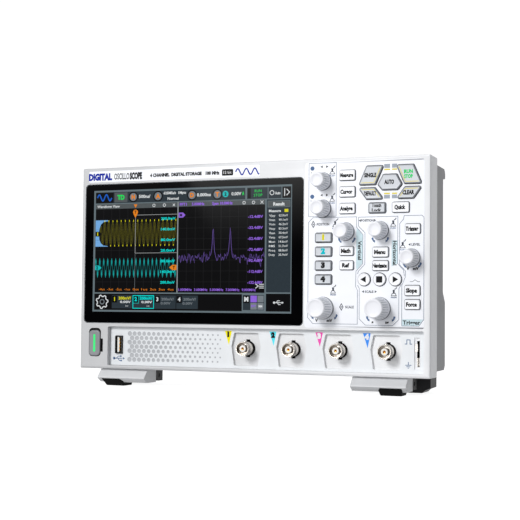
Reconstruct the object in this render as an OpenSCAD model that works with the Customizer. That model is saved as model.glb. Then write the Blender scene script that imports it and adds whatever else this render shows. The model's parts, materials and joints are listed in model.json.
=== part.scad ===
// Bench oscilloscope: front bezel with screen, keys and knobs, four input sockets,
// a rear cover with a fan, and two fold-out tilt legs.
//
// Row frame: origin at the bottom centre of the whole part, +X to the right,
// the front panel faces -Y, +Z up.
// Panel coordinates (used inside panel()): x from the left edge of the bezel,
// y behind the front face of the bezel, z from the lower edge of the bezel.

/* [Case] */
// Width of the bezel
case_w = 265.35; // [265:0.05:268]
// Height of the bezel
case_h = 149.25; // [149:0.05:151]
// Depth of the bezel, from its front face to its rear edge
bezel_d = 20; // [19.5:0.1:21]
// Depth of the case, from the front face to the rear feet of the cover
body_d = 60.34; // [60:0.01:66]
// Height of the feet under the bezel
foot_h = 12.5; // [12.2:0.1:14]
// Wall thickness of the bezel
wall = 2.5; // [2.2:0.1:2.6]
// Radius of the upright corners of the bezel
corner_r = 1; // [1:0.5:4]
// Radius of the front edges of the bezel
edge_r = 1.5; // [0.5:0.25:2]
// Gap between the side of the bezel and the side of the rear cover
cover_inset = 3.2; // [3:0.1:4]

/* [Screen] */
// Width of the cover glass
glass_w = 173.2; // [172:0.1:173.4]
// Height of the cover glass
glass_h = 103.2; // [102:0.1:103.4]
// Thickness of the cover glass
glass_t = 1.2; // [1:0.1:1.4]

/* [Keys and knobs] */
// How far the keys stand out of the panel
key_proud = 1.8; // [1:0.1:2]
// Gap around a key
key_gap = 0.4; // [0.3:0.05:0.4]
// Travel of a key
key_travel = 0.6; // [0.4:0.1:0.6]
// How far the two large knobs stand out of the panel
big_knob_reach = 16.7; // [15:0.1:17]
// How far the five small knobs stand out of the panel
small_knob_reach = 14; // [13:0.1:14.5]
// Radius of an encoder shaft
shaft_r = 3; // [2.9:0.05:3]
// Radial clearance between a shaft and what turns or slides on it
running_fit = 0.05; // [0.02:0.01:0.09]

/* [Inputs] */
// Depth of the recessed strip that holds the inputs
strip_depth = 4.4; // [4:0.1:4.6]
// Depth of the pocket around each input socket, below the strip
pocket_depth = 2; // [1.5:0.1:2.2]
// Distance between neighbouring input sockets
bnc_pitch = 34.05; // [33.8:0.05:34.2]
// Outer radius of the mating barrel of an input socket
bnc_r = 4.8; // [4.78:0.01:4.82]

/* [Legs] */
// Width of a tilt leg
leg_w = 38.7; // [38:0.1:39.5]
// Radius of the leg's pivots
pivot_r = 1.5; // [1.4:0.05:1.6]

/* [Hidden] */
// Row position of the panel's front face, which centres the part with its knobs
front_y = -(body_d - big_knob_reach) / 2;
plate_t = 3;             // thickness of the front plate
mat_y = 6.2;             // front face of the rubber mat
mat_t = 1;
pcb_y = 7.5;             // front face of the key board
pcb_t = 1.5;
encoder_y = 9.1;         // front face of an encoder's housing
encoder_d = 6.3;
bushing_r = 3.5;
bushing_reach = 5.5;     // how far the threaded bushing stands out of the panel
main_y = 30;             // front face of the main board
main_t = 1.6;

glass_x = 3;
glass_z = 33.75;
glass_y = 0.2;
strip = [23.4, 2.6, 261, 31.2];        // x0, z0, x1, z1 of the recessed strip
bnc_x = 133.2;
bnc_z = 17.2;
bnc_rim_y = -5.2;
bnc_bore = 6.5;                        // depth of the mating bore
pocket_y = strip_depth + pocket_depth;
usb_front = [31.1, 17.9];
probe_slot = [253.8, 6, 257.6, 26.8];   // shallow recess around the probe terminals
probe_groove = [255.3, 7.4, 257.2, 24.8];
power_key = [12.6, 18.8];
power_size = [9.3, 19.1];
power_proud = 1;
power_headroom = 1.2;                  // extra height of the power button's opening
power_notch = [16.5, 12.4, 19.4, 22.2];

cover_y = 17.5;                        // front rim of the cover, inside the bezel
cover_wall = 2.2;
cover_mid_y = body_d - 7;              // rear face between the lower block and the top pads
cover_x0 = cover_inset;
cover_x1 = case_w - cover_inset;
cover_z0 = cover_inset;
cover_z1 = case_h - cover_inset;
block_z = 55;                          // top of the lower block
pad_z = 139;                           // underside of the top pads
vesa = 100;                            // spacing of the mounting holes
vesa_hole_r = 2.05;
vesa_z = case_h / 2;
function vesa_x(s) = case_w / 2 + s * vesa / 2;
fan_x = 218;
fan_z = 95;
fan_y = 35.2;
fan_size = 60;
fan_d = 15;
aux_x = 40;
aux_bay = 10.5;                        // half the width of the bay around the rear output
aux_depth = 10.2;
rear_socket_z = 19;

leg_x = 16;
pivot_y = 22.5;
pivot_z = -4.9;
knuckle_r = 4.2;
ear_t = 3.6;
leg_rear_y = 18;

key_flange = 0.7;                      // width of the flange that holds a key in
run_key_flange = 0.5;                  // the slanted keys stand closer together
flange_y = [plate_t + 0.4, plate_t + 1.2];

$fn = 48;

// Keys with a rectangular face: name, centre x, centre z, width, height, corner radius
RECT_KEYS = [
    ["key_measure", 207.9, 136.9, 11.2, 7, 1],
    ["key_cursor", 207.9, 125.5, 11.2, 7, 1],
    ["key_analyse", 207.9, 114.1, 11.2, 7, 1],
    ["key_math", 207.7, 85.1, 9.8, 6, 1],
    ["key_ref", 207.7, 75.3, 9.8, 6, 1],
    ["key_channel_1", 191.1, 94.4, 12, 6.4, 1],
    ["key_channel_2", 191.1, 84.8, 12, 6.4, 1],
    ["key_channel_3", 191.1, 75.2, 12, 6.4, 1],
    ["key_channel_4", 191.1, 65.7, 12, 6.4, 1],
    ["key_menu", 231.5, 84.1, 11, 6.6, 1],
    ["key_navigate", 231.5, 75, 11, 6.6, 1],
    ["key_trigger", 253.6, 99.5, 10.3, 6.5, 1],
    ["key_slope", 253.4, 58.3, 10.3, 6.7, 1],
    ["key_force", 253.4, 49, 10.3, 6.5, 1],
    ["key_touch_lock", 229, 114, 11.8, 6.9, 1.2],
    ["key_quick", 245.3, 114.1, 11.6, 6.9, 1]
];
// Round keys: name, centre x, centre z, diameter
ROUND_KEYS = [
    ["key_back", 220.1, 65.7, 8.6],
    ["key_stop", 230.9, 65.7, 8.6],
    ["key_forward", 241.7, 65.7, 8.6]
];
// The keys of the run group are slanted: name and corners
hex_x = 237.8;
function mirrored(points) = [for (i = [len(points) - 1:-1:0]) [2 * hex_x - points[i][0], points[i][1]]];
single_outline = [[221.5, 142.7], [215.9, 129.8], [227.8, 129.8], [233.4, 142.7]];
default_outline = [[215.8, 127.8], [221.5, 119.9], [233.4, 119.9], [227.5, 127.8]];
auto_outline = [
    [233.1, 136.6], [229.4, 129.7], [232.5, 126],
    [243.1, 126], [246.2, 129.7], [242.5, 136.6]
];
HEX_KEYS = [
    ["key_single", single_outline],
    ["key_run_stop", mirrored(single_outline)],
    ["key_default", default_outline],
    ["key_clear", mirrored(default_outline)],
    ["key_auto", auto_outline]
];
GREY_KEYS = [
    "key_channel_1", "key_channel_2", "key_channel_3", "key_channel_4",
    "key_touch_lock", "key_single", "key_run_stop", "key_default", "key_clear", "key_auto"
];

// Knobs: name, centre x, centre z, base radius, face radius, reach
KNOBS = [
    ["multi_1", 190.1, 133.3, 6, 4.6, small_knob_reach],
    ["multi_2", 190.1, 114.5, 6, 4.6, small_knob_reach],
    ["vertical_position", 206.7, 98.4, 6, 4.6, small_knob_reach],
    ["horizontal_position", 230.8, 98.8, 6, 4.6, small_knob_reach],
    ["trigger_level", 252.4, 80.1, 6, 4.6, small_knob_reach],
    ["vertical_scale", 190.7, 46.1, 7.5, 6.1, big_knob_reach],
    ["horizontal_scale", 230.8, 46.1, 7.5, 6.1, big_knob_reach]
];

// ---------------------------------------------------------------- outlines

function unit(v) = v / norm(v);
function angle_of(v) = atan2(v[1], v[0]);
function turn(a, b) = let (d = b - a) d > 180 ? d - 360 : d < -180 ? d + 360 : d;

// Points of the round that replaces corner b between its neighbours a and c
function round_corner(a, b, c, r, steps) =
    let (
        u = unit(a - b),
        v = unit(c - b),
        half = acos(u * v) / 2,
        centre = b + unit(u + v) * r / sin(half),
        first = angle_of(b + u * r / tan(half) - centre),
        last = angle_of(b + v * r / tan(half) - centre)
    )
    [for (i = [0:steps]) let (t = first + turn(first, last) * i / steps)
        centre + r * [cos(t), sin(t)]];

function rounded(points, r, steps = 4) =
    let (n = len(points))
    [for (i = [0:n - 1])
        each round_corner(points[(i + n - 1) % n], points[i], points[(i + 1) % n], r, steps)];

// A convex outline whose sides are all moved outwards by d
function grown(points, d) =
    let (n = len(points))
    [for (i = [0:n - 1])
        let (
            u = unit(points[(i + n - 1) % n] - points[i]),
            v = unit(points[(i + 1) % n] - points[i])
        )
        points[i] - unit(u + v) * d / sin(acos(u * v) / 2)];

function rectangle(cx, cz, w, h) = [
    [cx - w / 2, cz - h / 2], [cx + w / 2, cz - h / 2],
    [cx + w / 2, cz + h / 2], [cx - w / 2, cz + h / 2]
];
function bounds_outline(b) = [[b[0], b[1]], [b[2], b[1]], [b[2], b[3]], [b[0], b[3]]];

power_outline = rectangle(power_key[0], power_key[1], power_size[0], power_size[1]);
// The opening of the power button leaves room above it
power_opening = rectangle(power_key[0], power_key[1] + power_headroom / 2,
    power_size[0] + 2 * key_gap, power_size[1] + 2 * key_gap + power_headroom);

// The outline of an input's pocket: flat top and bottom, and sides that bulge. It reaches
// further to the left of the socket at cx than to its right.
pocket_left = 9.9;
pocket_right = 8.3;
pocket_bulge = 2.1;
pocket_bottom = 4.8;
pocket_top = 28.2;
function pocket_outline(cx) = [
    [cx - pocket_left, pocket_bottom], [cx + pocket_right, pocket_bottom],
    [cx + pocket_right + pocket_bulge, bnc_z + 1.4], [cx + pocket_right, pocket_top],
    [cx - pocket_left, pocket_top], [cx - pocket_left - pocket_bulge, bnc_z + 1.4]
];

// ---------------------------------------------------------------- helpers

// Places panel coordinates in the row frame
module panel() {
    translate([-case_w / 2, front_y, foot_h]) children();
}

// Extrudes a drawing in x and z from y0 to y1
module along_y(y0, y1) {
    translate([0, y1, 0]) rotate([90, 0, 0]) linear_extrude(y1 - y0) children();
}

// Extrudes a drawing in y and z from x0 to x1
module along_x(x0, x1) {
    translate([x0, 0, 0]) rotate([90, 0, 90]) linear_extrude(x1 - x0) children();
}

module slab(points, y0, y1) {
    along_y(y0, y1) polygon(points);
}

module box(x0, y0, z0, x1, y1, z1) {
    translate([x0, y0, z0]) cube([x1 - x0, y1 - y0, z1 - z0]);
}

module square_box(x, z, half, y0, y1) {
    box(x - half, y0, z - half, x + half, y1, z + half);
}

// A round bar along Y
module rod(x, z, r, y0, y1) {
    translate([x, y1, z]) rotate([90, 0, 0]) cylinder(r = r, h = y1 - y0);
}

// A profile of [radius, reach in front of the panel] turned about an axis along Y
module turned(x, z, profile) {
    translate([x, 0, z]) rotate([90, 0, 0]) rotate_extrude($fn = 96) polygon(profile);
}

module at_inputs() {
    for (i = [0:3]) translate([bnc_x + i * bnc_pitch, 0, bnc_z]) children();
}

// ---------------------------------------------------------------- front bezel

// Rounded block, with softer edges at its front than at its sides
module bezel_block() {
    side = [[0, bezel_d], [0, edge_r], [0.3 * edge_r, 0.3 * edge_r], [edge_r, 0]];
    intersection() {
        slab(rounded(rectangle(case_w / 2, case_h / 2, case_w, case_h), corner_r, 6), 0, bezel_d);
        linear_extrude(case_h) polygon(concat(
            side, [for (i = [3:-1:0]) [case_w - side[i][0], side[i][1]]]
        ));
        rotate([90, 0, 90]) linear_extrude(case_w) polygon(concat(
            [for (p = side) [p[1], p[0]]],
            [for (i = [3:-1:0]) [side[i][1], case_h - side[i][0]]]
        ));
    }
}

module bezel_shell() {
    difference() {
        bezel_block();
        box(wall, plate_t, wall, case_w - wall, bezel_d + 1, case_h - wall);
    }
    // Tubs behind the recessed strip, the input pockets and the power button
    box(strip[0] - 2, 1, 1, strip[2] + 2, strip_depth + 2, strip[3] + 2);
    for (i = [0:3])
        slab(grown(pocket_outline(bnc_x + i * bnc_pitch), 1.6), strip_depth, pocket_y + 2);
}

module key_openings() {
    for (k = RECT_KEYS)
        slab(rounded(grown(rectangle(k[1], k[2], k[3], k[4]), key_gap), k[5]), -1, plate_t + 1);
    for (k = ROUND_KEYS)
        rod(k[1], k[2], k[3] / 2 + key_gap, -1, plate_t + 1);
    for (k = HEX_KEYS)
        slab(rounded(grown(k[1], key_gap), 0.8), -1, plate_t + 1);
    slab(rounded(power_opening, 3), -1, plate_t + 1);
    // Dark notch beside the power button
    slab(bounds_outline(power_notch), -1, plate_t + 1);
}

module bnc_hole() {
    rod(0, 0, 5.2, 0, pocket_y + 3);
    for (s = [-1, 1])
        box(-1.5, 0, s > 0 ? 4 : -6.3, 1.5, pocket_y + 3, s > 0 ? 6.3 : -4);
}

module front_bezel() {
    color("gainsboro") panel() difference() {
        bezel_shell();
        // Seat of the cover glass, and the window behind it
        slab(rounded(grown(bounds_outline([glass_x, glass_z, glass_x + glass_w,
            glass_z + glass_h]), 0.15), 3), -1, glass_y + glass_t);
        box(6, -1, 37.5, 172, plate_t + 1, 135);
        // Recessed strip and its pockets
        slab(rounded(bounds_outline(strip), 1), -1, strip_depth);
        for (i = [0:3])
            slab(rounded(pocket_outline(bnc_x + i * bnc_pitch), 1), 1, pocket_y);
        at_inputs() bnc_hole();
        box(usb_front[0] - 2.9, 0, usb_front[1] - 6.6, usb_front[0] + 2.9, 12, usb_front[1] + 6.6);
        slab(bounds_outline(probe_slot), 0, strip_depth + 0.8);
        slab(bounds_outline(probe_groove), 0, 12);
        key_openings();
        for (k = KNOBS) rod(k[1], k[2], bushing_r + 0.3, -1, plate_t + 1);
    }
}

// ---------------------------------------------------------------- screen

module touch_glass() {
    color("black") panel()
        slab(rounded(bounds_outline([glass_x, glass_z, glass_x + glass_w, glass_z + glass_h]), 3),
            glass_y, glass_y + glass_t);
}

module lcd_module() {
    color("dimgray") panel() {
        box(6.4, 1.6, 38, 171.6, 6.2, 134.6);
        box(20, 6.2, 45, 158, 8.2, 128);
    }
}

// ---------------------------------------------------------------- keys

module key_solid(outline, r, flange = key_flange, steps = 4) {
    slab(rounded(outline, r, steps), -key_proud, mat_y - 1.2);
    slab(rounded(grown(outline, flange), r, steps), flange_y[0], flange_y[1]);
}

module key_colour(name) {
    is_grey = len([for (grey = GREY_KEYS) if (grey == name) grey]) > 0;
    color(is_grey ? "silver" : "whitesmoke") panel() children();
}

module power_button() {
    color("gray") panel() {
        slab(rounded(power_outline, 2.8), -power_proud, mat_y - 1.2);
        slab(rounded(grown(power_opening, 0.6), 2.8), flange_y[0], flange_y[1]);
    }
}

// ---------------------------------------------------------------- knobs

module knob(k) {
    reach = k[5];
    base_r = k[3];
    face_r = k[4];
    bore = shaft_r + running_fit;
    color("white") panel() turned(k[1], k[2], [
        [4.4, 1], [base_r - 0.4, 1], [base_r, 1.5], [base_r - 0.1, 3],
        [face_r + 0.3, reach - 0.7], [face_r - 0.6, reach],
        [0, reach], [0, reach - 2.2], [bore, reach - 2.2], [bore, 6.5], [4.4, 6.5]
    ]);
}

module encoder_shaft(k) {
    color("silver") panel() rod(k[1], k[2], shaft_r, -(k[5] - 2.5), encoder_y + 4);
}

module encoder_housings() {
    color("darkslategray") panel() for (k = KNOBS) difference() {
        union() {
            slab(rectangle(k[1], k[2], 11.4, 11.4), encoder_y, encoder_y + encoder_d);
            rod(k[1], k[2], bushing_r, -bushing_reach, encoder_y + 1);
        }
        rod(k[1], k[2], shaft_r + running_fit, -bushing_reach - 1, encoder_y + 5);
    }
}

// ---------------------------------------------------------------- boards

function key_centres() = concat(
    [for (k = RECT_KEYS) [k[1], k[2]]],
    [for (k = ROUND_KEYS) [k[1], k[2]]],
    [for (k = HEX_KEYS) let (n = len(k[1])) [for (j = [0, 1])
        [for (p = k[1]) p[j]] * [for (p = k[1]) 1 / n]]]
);

module keypad_mat() {
    color("lightgray") panel() difference() {
        union() {
            box(177.5, mat_y, 36, 262, mat_y + mat_t, 146);
            for (c = key_centres()) rod(c[0], c[1], 2, mat_y - 0.25, mat_y + 0.1);
        }
        for (k = KNOBS) rod(k[1], k[2], bushing_r + 0.4, mat_y - 1, mat_y + mat_t + 1);
    }
}

module front_panel_pcb() {
    color("darkgreen") panel() difference() {
        box(177.5, pcb_y, 36, 262, pcb_y + pcb_t, 146);
        for (k = KNOBS) rod(k[1], k[2], bushing_r + 0.3, pcb_y - 1, pcb_y + pcb_t + 1);
    }
}

module main_pcb() {
    color("darkgreen") panel() {
        box(8, main_y, 8, 256, main_y + main_t, 138);
        // Shield over the input stages, processors, and connector of the display
        box(118, main_y - 7, 32, 246, main_y, 60);
        box(60, main_y - 3, 70, 85, main_y, 95);
        box(100, main_y - 3, 75, 120, main_y, 95);
        box(30, main_y - 5, 100, 70, main_y, 108);
        // Finned heat sink on the back of the board
        box(70, main_y + main_t, 66, 130, main_y + main_t + 2, 126);
        for (i = [0:9])
            box(70, main_y + main_t, 66 + i * 6.4, 130, main_y + main_t + 14, 68 + i * 6.4);
    }
}

// ---------------------------------------------------------------- rear cover

module cover_form() {
    chamfer = 3;
    // Main box with slanted upper and lower edges
    intersection() {
        box(cover_x0, cover_y, cover_z0, cover_x1, body_d, cover_z1);
        rotate([90, 0, 90]) linear_extrude(case_w) polygon([
            [cover_y, cover_z0], [body_d - chamfer, cover_z0], [body_d, cover_z0 + chamfer],
            [body_d, block_z - 4], [cover_mid_y, block_z + 3], [cover_mid_y, cover_z1 - chamfer],
            [cover_mid_y - chamfer, cover_z1], [cover_y, cover_z1]
        ]);
    }
    // Pads that the case stands on when it lies on its back
    for (x = [cover_x0, cover_x1 - 26])
        rotate([90, 0, 90]) translate([0, 0, x]) linear_extrude(26) polygon([
            [cover_mid_y - 8, pad_z], [body_d - 1, pad_z], [body_d, pad_z + 1],
            [body_d, cover_z1 - chamfer], [body_d - chamfer, cover_z1], [cover_mid_y - 8, cover_z1]
        ]);
    // Raised seats of the upper mounting holes
    for (s = [-1, 1])
        rod(vesa_x(s), vesa_z + vesa / 2, 7, cover_mid_y - 1, body_d);
}

module cover_hollow() {
    w = cover_wall;
    box(cover_x0 + w, cover_y - 1, cover_z0 + w, cover_x1 - w, cover_mid_y - w, cover_z1 - w);
    box(cover_x0 + w, cover_y - 1, cover_z0 + w, cover_x1 - w, body_d - w, block_z - 6);
}

module vent_slots(x0, x1, z0, count) {
    for (i = [0:count - 1])
        box(x0, cover_mid_y - 5, z0 + i * 5.6, x1, cover_mid_y + 1, z0 + i * 5.6 + 2.6);
}

// Rear sockets: x, width and height of the opening
REAR_SOCKETS = [[66, 9.4, 3.4], [106, 16.2, 13.6], [134, 15.2, 6], [160, 12.4, 11]];
SCREWS = [[14, 12, body_d], [251.35, 12, body_d], [45, 132, cover_mid_y], [150, 132, cover_mid_y]];

module rear_cover() {
    color("dimgray") panel() difference() {
        union() {
            difference() {
                cover_form();
                cover_hollow();
            }
            // Solid bosses behind the four mounting holes
            for (s = [-1, 1]) {
                rod(vesa_x(s), vesa_z - vesa / 2, 5.5, body_d - 10, body_d - 1);
                rod(vesa_x(s), vesa_z + vesa / 2, 7, body_d - 10, body_d - 1);
            }
            // Tub of the bay that the rear output stands in
            square_box(aux_x, rear_socket_z, aux_bay + 2, body_d - aux_depth - 2, body_d - 1);
        }
        square_box(aux_x, rear_socket_z, aux_bay, body_d - aux_depth, body_d + 1);
        for (s = [-1, 1], t = [-1, 1])
            rod(vesa_x(s), vesa_z + t * vesa / 2, vesa_hole_r, body_d - 8, body_d + 1);
        vent_slots(192, 216.5, fan_z - 26, 10);
        vent_slots(219.5, 244, fan_z - 26, 10);
        vent_slots(22, 46.5, fan_z - 26, 10);
        vent_slots(49.5, 74, fan_z - 26, 10);
        for (s = REAR_SOCKETS)
            box(s[0] - s[1] / 2 - 0.3, body_d - 5, rear_socket_z - s[2] / 2 - 0.3,
                s[0] + s[1] / 2 + 0.3, body_d + 1, rear_socket_z + s[2] / 2 + 0.3);
        rod(aux_x, rear_socket_z, 5.2, body_d - aux_depth - 5, body_d);
        box(226, body_d - 5, rear_socket_z - 1.5, 233, body_d + 1, rear_socket_z + 1.5);
        for (s = SCREWS) {
            rod(s[0], s[1], 1.8, s[2] - 6, s[2] + 1);
            rod(s[0], s[1], 3.6, s[2] - 1.2, s[2] + 1);
        }
    }
}

module case_screws() {
    color("silver") panel() for (s = SCREWS) difference() {
        union() {
            rod(s[0], s[1], 3.2, s[2] - 1.1, s[2]);
            rod(s[0], s[1], 1.5, s[2] - 12, s[2] - 1);
        }
        // Cross recess
        box(s[0] - 1.6, s[2] - 0.9, s[1] - 0.35, s[0] + 1.6, s[2] + 1, s[1] + 0.35);
        box(s[0] - 0.35, s[2] - 0.9, s[1] - 1.6, s[0] + 0.35, s[2] + 1, s[1] + 1.6);
    }
}

// ---------------------------------------------------------------- sockets

// An input socket, from the rim of its barrel to the board. Its axis lies on the origin.
module bnc_shell(rim, panel_face, board) {
    lug_y = rim + 5.2;
    difference() {
        union() {
            rod(0, 0, bnc_r, rim, rim + 4.2);
            rod(0, 0, bnc_r - 0.1, rim + 4.1, panel_face + 2.3);
            translate([0, lug_y, -5.5]) cylinder(r = 0.95, h = 11);
            rod(0, 0, 7.2, panel_face + 2.2, panel_face + 4.2);
            rod(0, 0, 6.2, panel_face + 4.1, board);
        }
        rod(0, 0, 4.08, rim - 1, rim + bnc_bore);
        rod(0, 0, 2.5, rim, board + 1);
    }
}

module bnc_insulator(rim, board) {
    difference() {
        rod(0, 0, 2.4, rim + 0.9, board - 0.1);
        rod(0, 0, 1.05, rim, board);
    }
}

module bnc_contact(rim, board) {
    difference() {
        rod(0, 0, 1, rim + 1.2, board - 0.1);
        rod(0, 0, 0.5, rim, rim + 6);
    }
}

// The rear output is the same socket, turned to face backwards
module at_rear_output() {
    translate([aux_x, body_d, rear_socket_z]) rotate([0, 0, 180]) children();
}

module bnc_shells() {
    color("lightgray") panel() {
        at_inputs() bnc_shell(bnc_rim_y, pocket_y, main_y);
        at_rear_output() bnc_shell(0, aux_depth, body_d - main_y - main_t);
    }
}

module bnc_insulators() {
    color("white") panel() {
        at_inputs() bnc_insulator(bnc_rim_y, main_y);
        at_rear_output() bnc_insulator(0, body_d - main_y - main_t);
    }
}

module bnc_contacts() {
    color("gold") panel() {
        at_inputs() bnc_contact(bnc_rim_y, main_y);
        at_rear_output() bnc_contact(0, body_d - main_y - main_t);
    }
}

module front_usb() {
    x = usb_front[0];
    z = usb_front[1];
    difference() {
        box(x - 2.8, strip_depth - 0.2, z - 6.5, x + 2.8, 20, z + 6.5);
        box(x - 2.5, 0, z - 6.2, x + 2.5, 14, z + 6.2);
    }
    box(x - 1.3, strip_depth + 1, z - 5.5, x + 0.1, 15, z + 5.5);
}

module rear_socket(s, tongue) {
    y_open = body_d - 0.2;
    difference() {
        box(s[0] - s[1] / 2, main_y + main_t, rear_socket_z - s[2] / 2,
            s[0] + s[1] / 2, y_open, rear_socket_z + s[2] / 2);
        box(s[0] - s[1] / 2 + 0.6, y_open - 12, rear_socket_z - s[2] / 2 + 0.6,
            s[0] + s[1] / 2 - 0.6, y_open + 1, rear_socket_z + s[2] / 2 - 0.6);
    }
    if (tongue[0] > 0)
        box(s[0] - tongue[0] / 2, y_open - 13, rear_socket_z - tongue[1] / 2,
            s[0] + tongue[0] / 2, y_open - 1, rear_socket_z + tongue[1] / 2);
}

module interface_sockets() {
    color("darkgray") panel() {
        front_usb();
        rear_socket(REAR_SOCKETS[0], [6.7, 0.7]);
        rear_socket(REAR_SOCKETS[1], [0, 0]);
        rear_socket(REAR_SOCKETS[2], [12, 1.6]);
        rear_socket(REAR_SOCKETS[3], [5.6, 3.2]);
    }
}

// Two sprung terminals that a probe's tip and ground clip on to
module probe_terminals() {
    seat_y = strip_depth + 0.8;
    x = probe_groove[0];
    color("silver") panel() {
        // Upper one: a strip beside the groove, folded into it
        box(x - 1.1, seat_y - 0.4, 17.4, x + 0.5, seat_y - 0.05, 22.8);
        box(x + 0.1, seat_y - 0.4, 17.4, x + 0.5, 16, 22.8);
        // Lower one: two leaves in the groove
        for (leaf = [x + 0.2, x + 1.3])
            box(leaf, seat_y - 0.4, 7.8, leaf + 0.4, 16, 13.4);
        box(x + 0.2, 15.4, 7.8, x + 1.7, 16, 13.4);
    }
}

// ---------------------------------------------------------------- fan

module fan_frame() {
    bush_r = 3.4;
    color("black") panel() difference() {
        union() {
            difference() {
                box(fan_x - fan_size / 2, fan_y, fan_z - fan_size / 2,
                    fan_x + fan_size / 2, fan_y + fan_d, fan_z + fan_size / 2);
                rod(fan_x, fan_z, fan_size / 2 - 1.5, fan_y - 1, fan_y + fan_d + 1);
            }
            rod(fan_x, fan_z, 11, fan_y, fan_y + 2);
            rod(fan_x, fan_z, bush_r, fan_y, fan_y + 9);
            for (a = [45:90:315]) translate([fan_x, fan_y, fan_z]) rotate([0, a, 0])
                box(9, 0, -1.5, fan_size / 2 - 0.5, 2, 1.5);
        }
        rod(fan_x, fan_z, 1.5 + running_fit, fan_y + 0.6, fan_y + 10);
    }
}

module fan_rotor() {
    color("dimgray") panel() {
        difference() {
            rod(fan_x, fan_z, 12, fan_y + 2.6, fan_y + 13.5);
            rod(fan_x, fan_z, 10.5, fan_y + 2, fan_y + 11.5);
        }
        rod(fan_x, fan_z, 1.5, fan_y + 1, fan_y + 12);
        for (i = [0:6]) translate([fan_x, fan_y + 8, fan_z]) rotate([0, i * 360 / 7, 0])
            rotate([38, 0, 0]) box(11.3, -0.6, -6.5, 27, 0.6, 6.5);
    }
}

// ---------------------------------------------------------------- feet and legs

// Mirrors a left-hand leg to the right of the case
module leg_side(side) {
    if (side > 0) translate([case_w, 0, 0]) mirror([1, 0, 0]) children();
    else children();
}

// The pad is let into the lower front edge of the leg
pad_profile = [[-1, -7], [5, -foot_h], [17, -foot_h], [17.6, -9], [1.5, -6.2]];
pad_x0 = leg_x + 3.2;
pad_x1 = leg_x + 19.5;
module pad_form() {
    intersection() {
        along_x(pad_x0, pad_x1) polygon(pad_profile);
        // Its ends narrow towards the floor and towards its upper edge
        along_y(-2, 20) polygon([
            [pad_x0, -6], [pad_x0, -8], [pad_x0 + 1.2, -foot_h], [pad_x1 - 0.4, -foot_h],
            [pad_x1, -9.8], [pad_x1, -8.6], [pad_x1 - 2.4, -6]
        ]);
    }
}

module tilt_leg(side) {
    color("lightgray") panel() leg_side(side) difference() {
        union() {
            along_x(leg_x, leg_x + leg_w) polygon([
                [4.1, -0.3], [-1.1, -5.6], [-1.5, -6.4], [-1, -7], [3.6, -9.8],
                [leg_rear_y, -9.8], [leg_rear_y, -0.3]
            ]);
            along_x(leg_x + ear_t + 0.35, leg_x + leg_w - ear_t - 0.35) union() {
                translate([pivot_y, pivot_z]) circle(r = knuckle_r);
                polygon([
                    [leg_rear_y - 1, pivot_z - knuckle_r], [pivot_y, pivot_z - knuckle_r],
                    [pivot_y, pivot_z + knuckle_r], [leg_rear_y - 1, pivot_z + knuckle_r]
                ]);
            }
            translate([leg_x + 0.4, pivot_y, pivot_z]) rotate([0, 90, 0])
                cylinder(r = pivot_r, h = leg_w - 0.8);
        }
        pad_form();
    }
}

module leg_pad(side) {
    color("black") panel() leg_side(side) pad_form();
}

// The bracket that a leg turns in: two ears and a web behind the knuckle
module leg_bracket() {
    rear = 29;
    for (x = [leg_x, leg_x + leg_w - ear_t]) difference() {
        along_x(x, x + ear_t) union() {
            translate([pivot_y, pivot_z]) circle(r = knuckle_r);
            polygon([
                [leg_rear_y + 0.35, pivot_z], [pivot_y, pivot_z],
                [pivot_y, pivot_z - knuckle_r], [rear, pivot_z - knuckle_r],
                [rear, cover_z0], [bezel_d + 0.4, cover_z0], [bezel_d + 0.4, -0.1],
                [leg_rear_y + 0.35, -0.1]
            ]);
        }
        translate([x - 1, pivot_y, pivot_z]) rotate([0, 90, 0])
            cylinder(r = pivot_r + running_fit, h = ear_t + 2);
    }
    box(leg_x + 1, rear - 1.7, pivot_z - knuckle_r, leg_x + leg_w - 1, rear, cover_z0);
}

module rear_foot() {
    x0 = 9;
    x1 = 31;
    y0 = 41;
    y1 = body_d - 0.6;
    intersection() {
        box(x0, y0, -foot_h, x1, y1, cover_z0);
        along_y(y0 - 1, y1 + 1) polygon([
            [x0, cover_z0], [x0, -9], [x0 + 4, -10.6], [x0 + 6, -foot_h],
            [x1 - 1.5, -foot_h], [x1, -9], [x1, cover_z0]
        ]);
    }
}

module base_feet() {
    color([0.25, 0.25, 0.26]) panel() for (side = [-1, 1]) leg_side(side) {
        leg_bracket();
        rear_foot();
    }
}

// ---------------------------------------------------------------- nodes

front_bezel();
touch_glass();
lcd_module();
keypad_mat();
front_panel_pcb();
encoder_housings();
main_pcb();
rear_cover();
bnc_shells();
bnc_insulators();
bnc_contacts();
interface_sockets();
probe_terminals();
base_feet();
case_screws();
fan_frame();
fan_rotor();
tilt_leg(-1);  // tilt_leg_left
tilt_leg(1);  // tilt_leg_right
leg_pad(-1);  // leg_pad_left
leg_pad(1);  // leg_pad_right
power_button();
for (k = RECT_KEYS)
    key_colour(k[0]) key_solid(rectangle(k[1], k[2], k[3], k[4]), k[5]);
for (k = ROUND_KEYS)
    key_colour(k[0])
            key_solid(rectangle(k[1], k[2], k[3], k[3]), k[3] / 2 - 0.01, key_flange, 8);
for (k = HEX_KEYS)
    key_colour(k[0]) key_solid(k[1], 0.8, run_key_flange);
for (k = KNOBS) {
    knob(k);
    encoder_shaft(k);
}
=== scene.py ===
import json
from math import atan2, cos, dist, exp, hypot, pi, radians, sin, tan, tau
from random import Random

import bmesh
import bpy
from mathutils import Matrix, Vector


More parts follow.
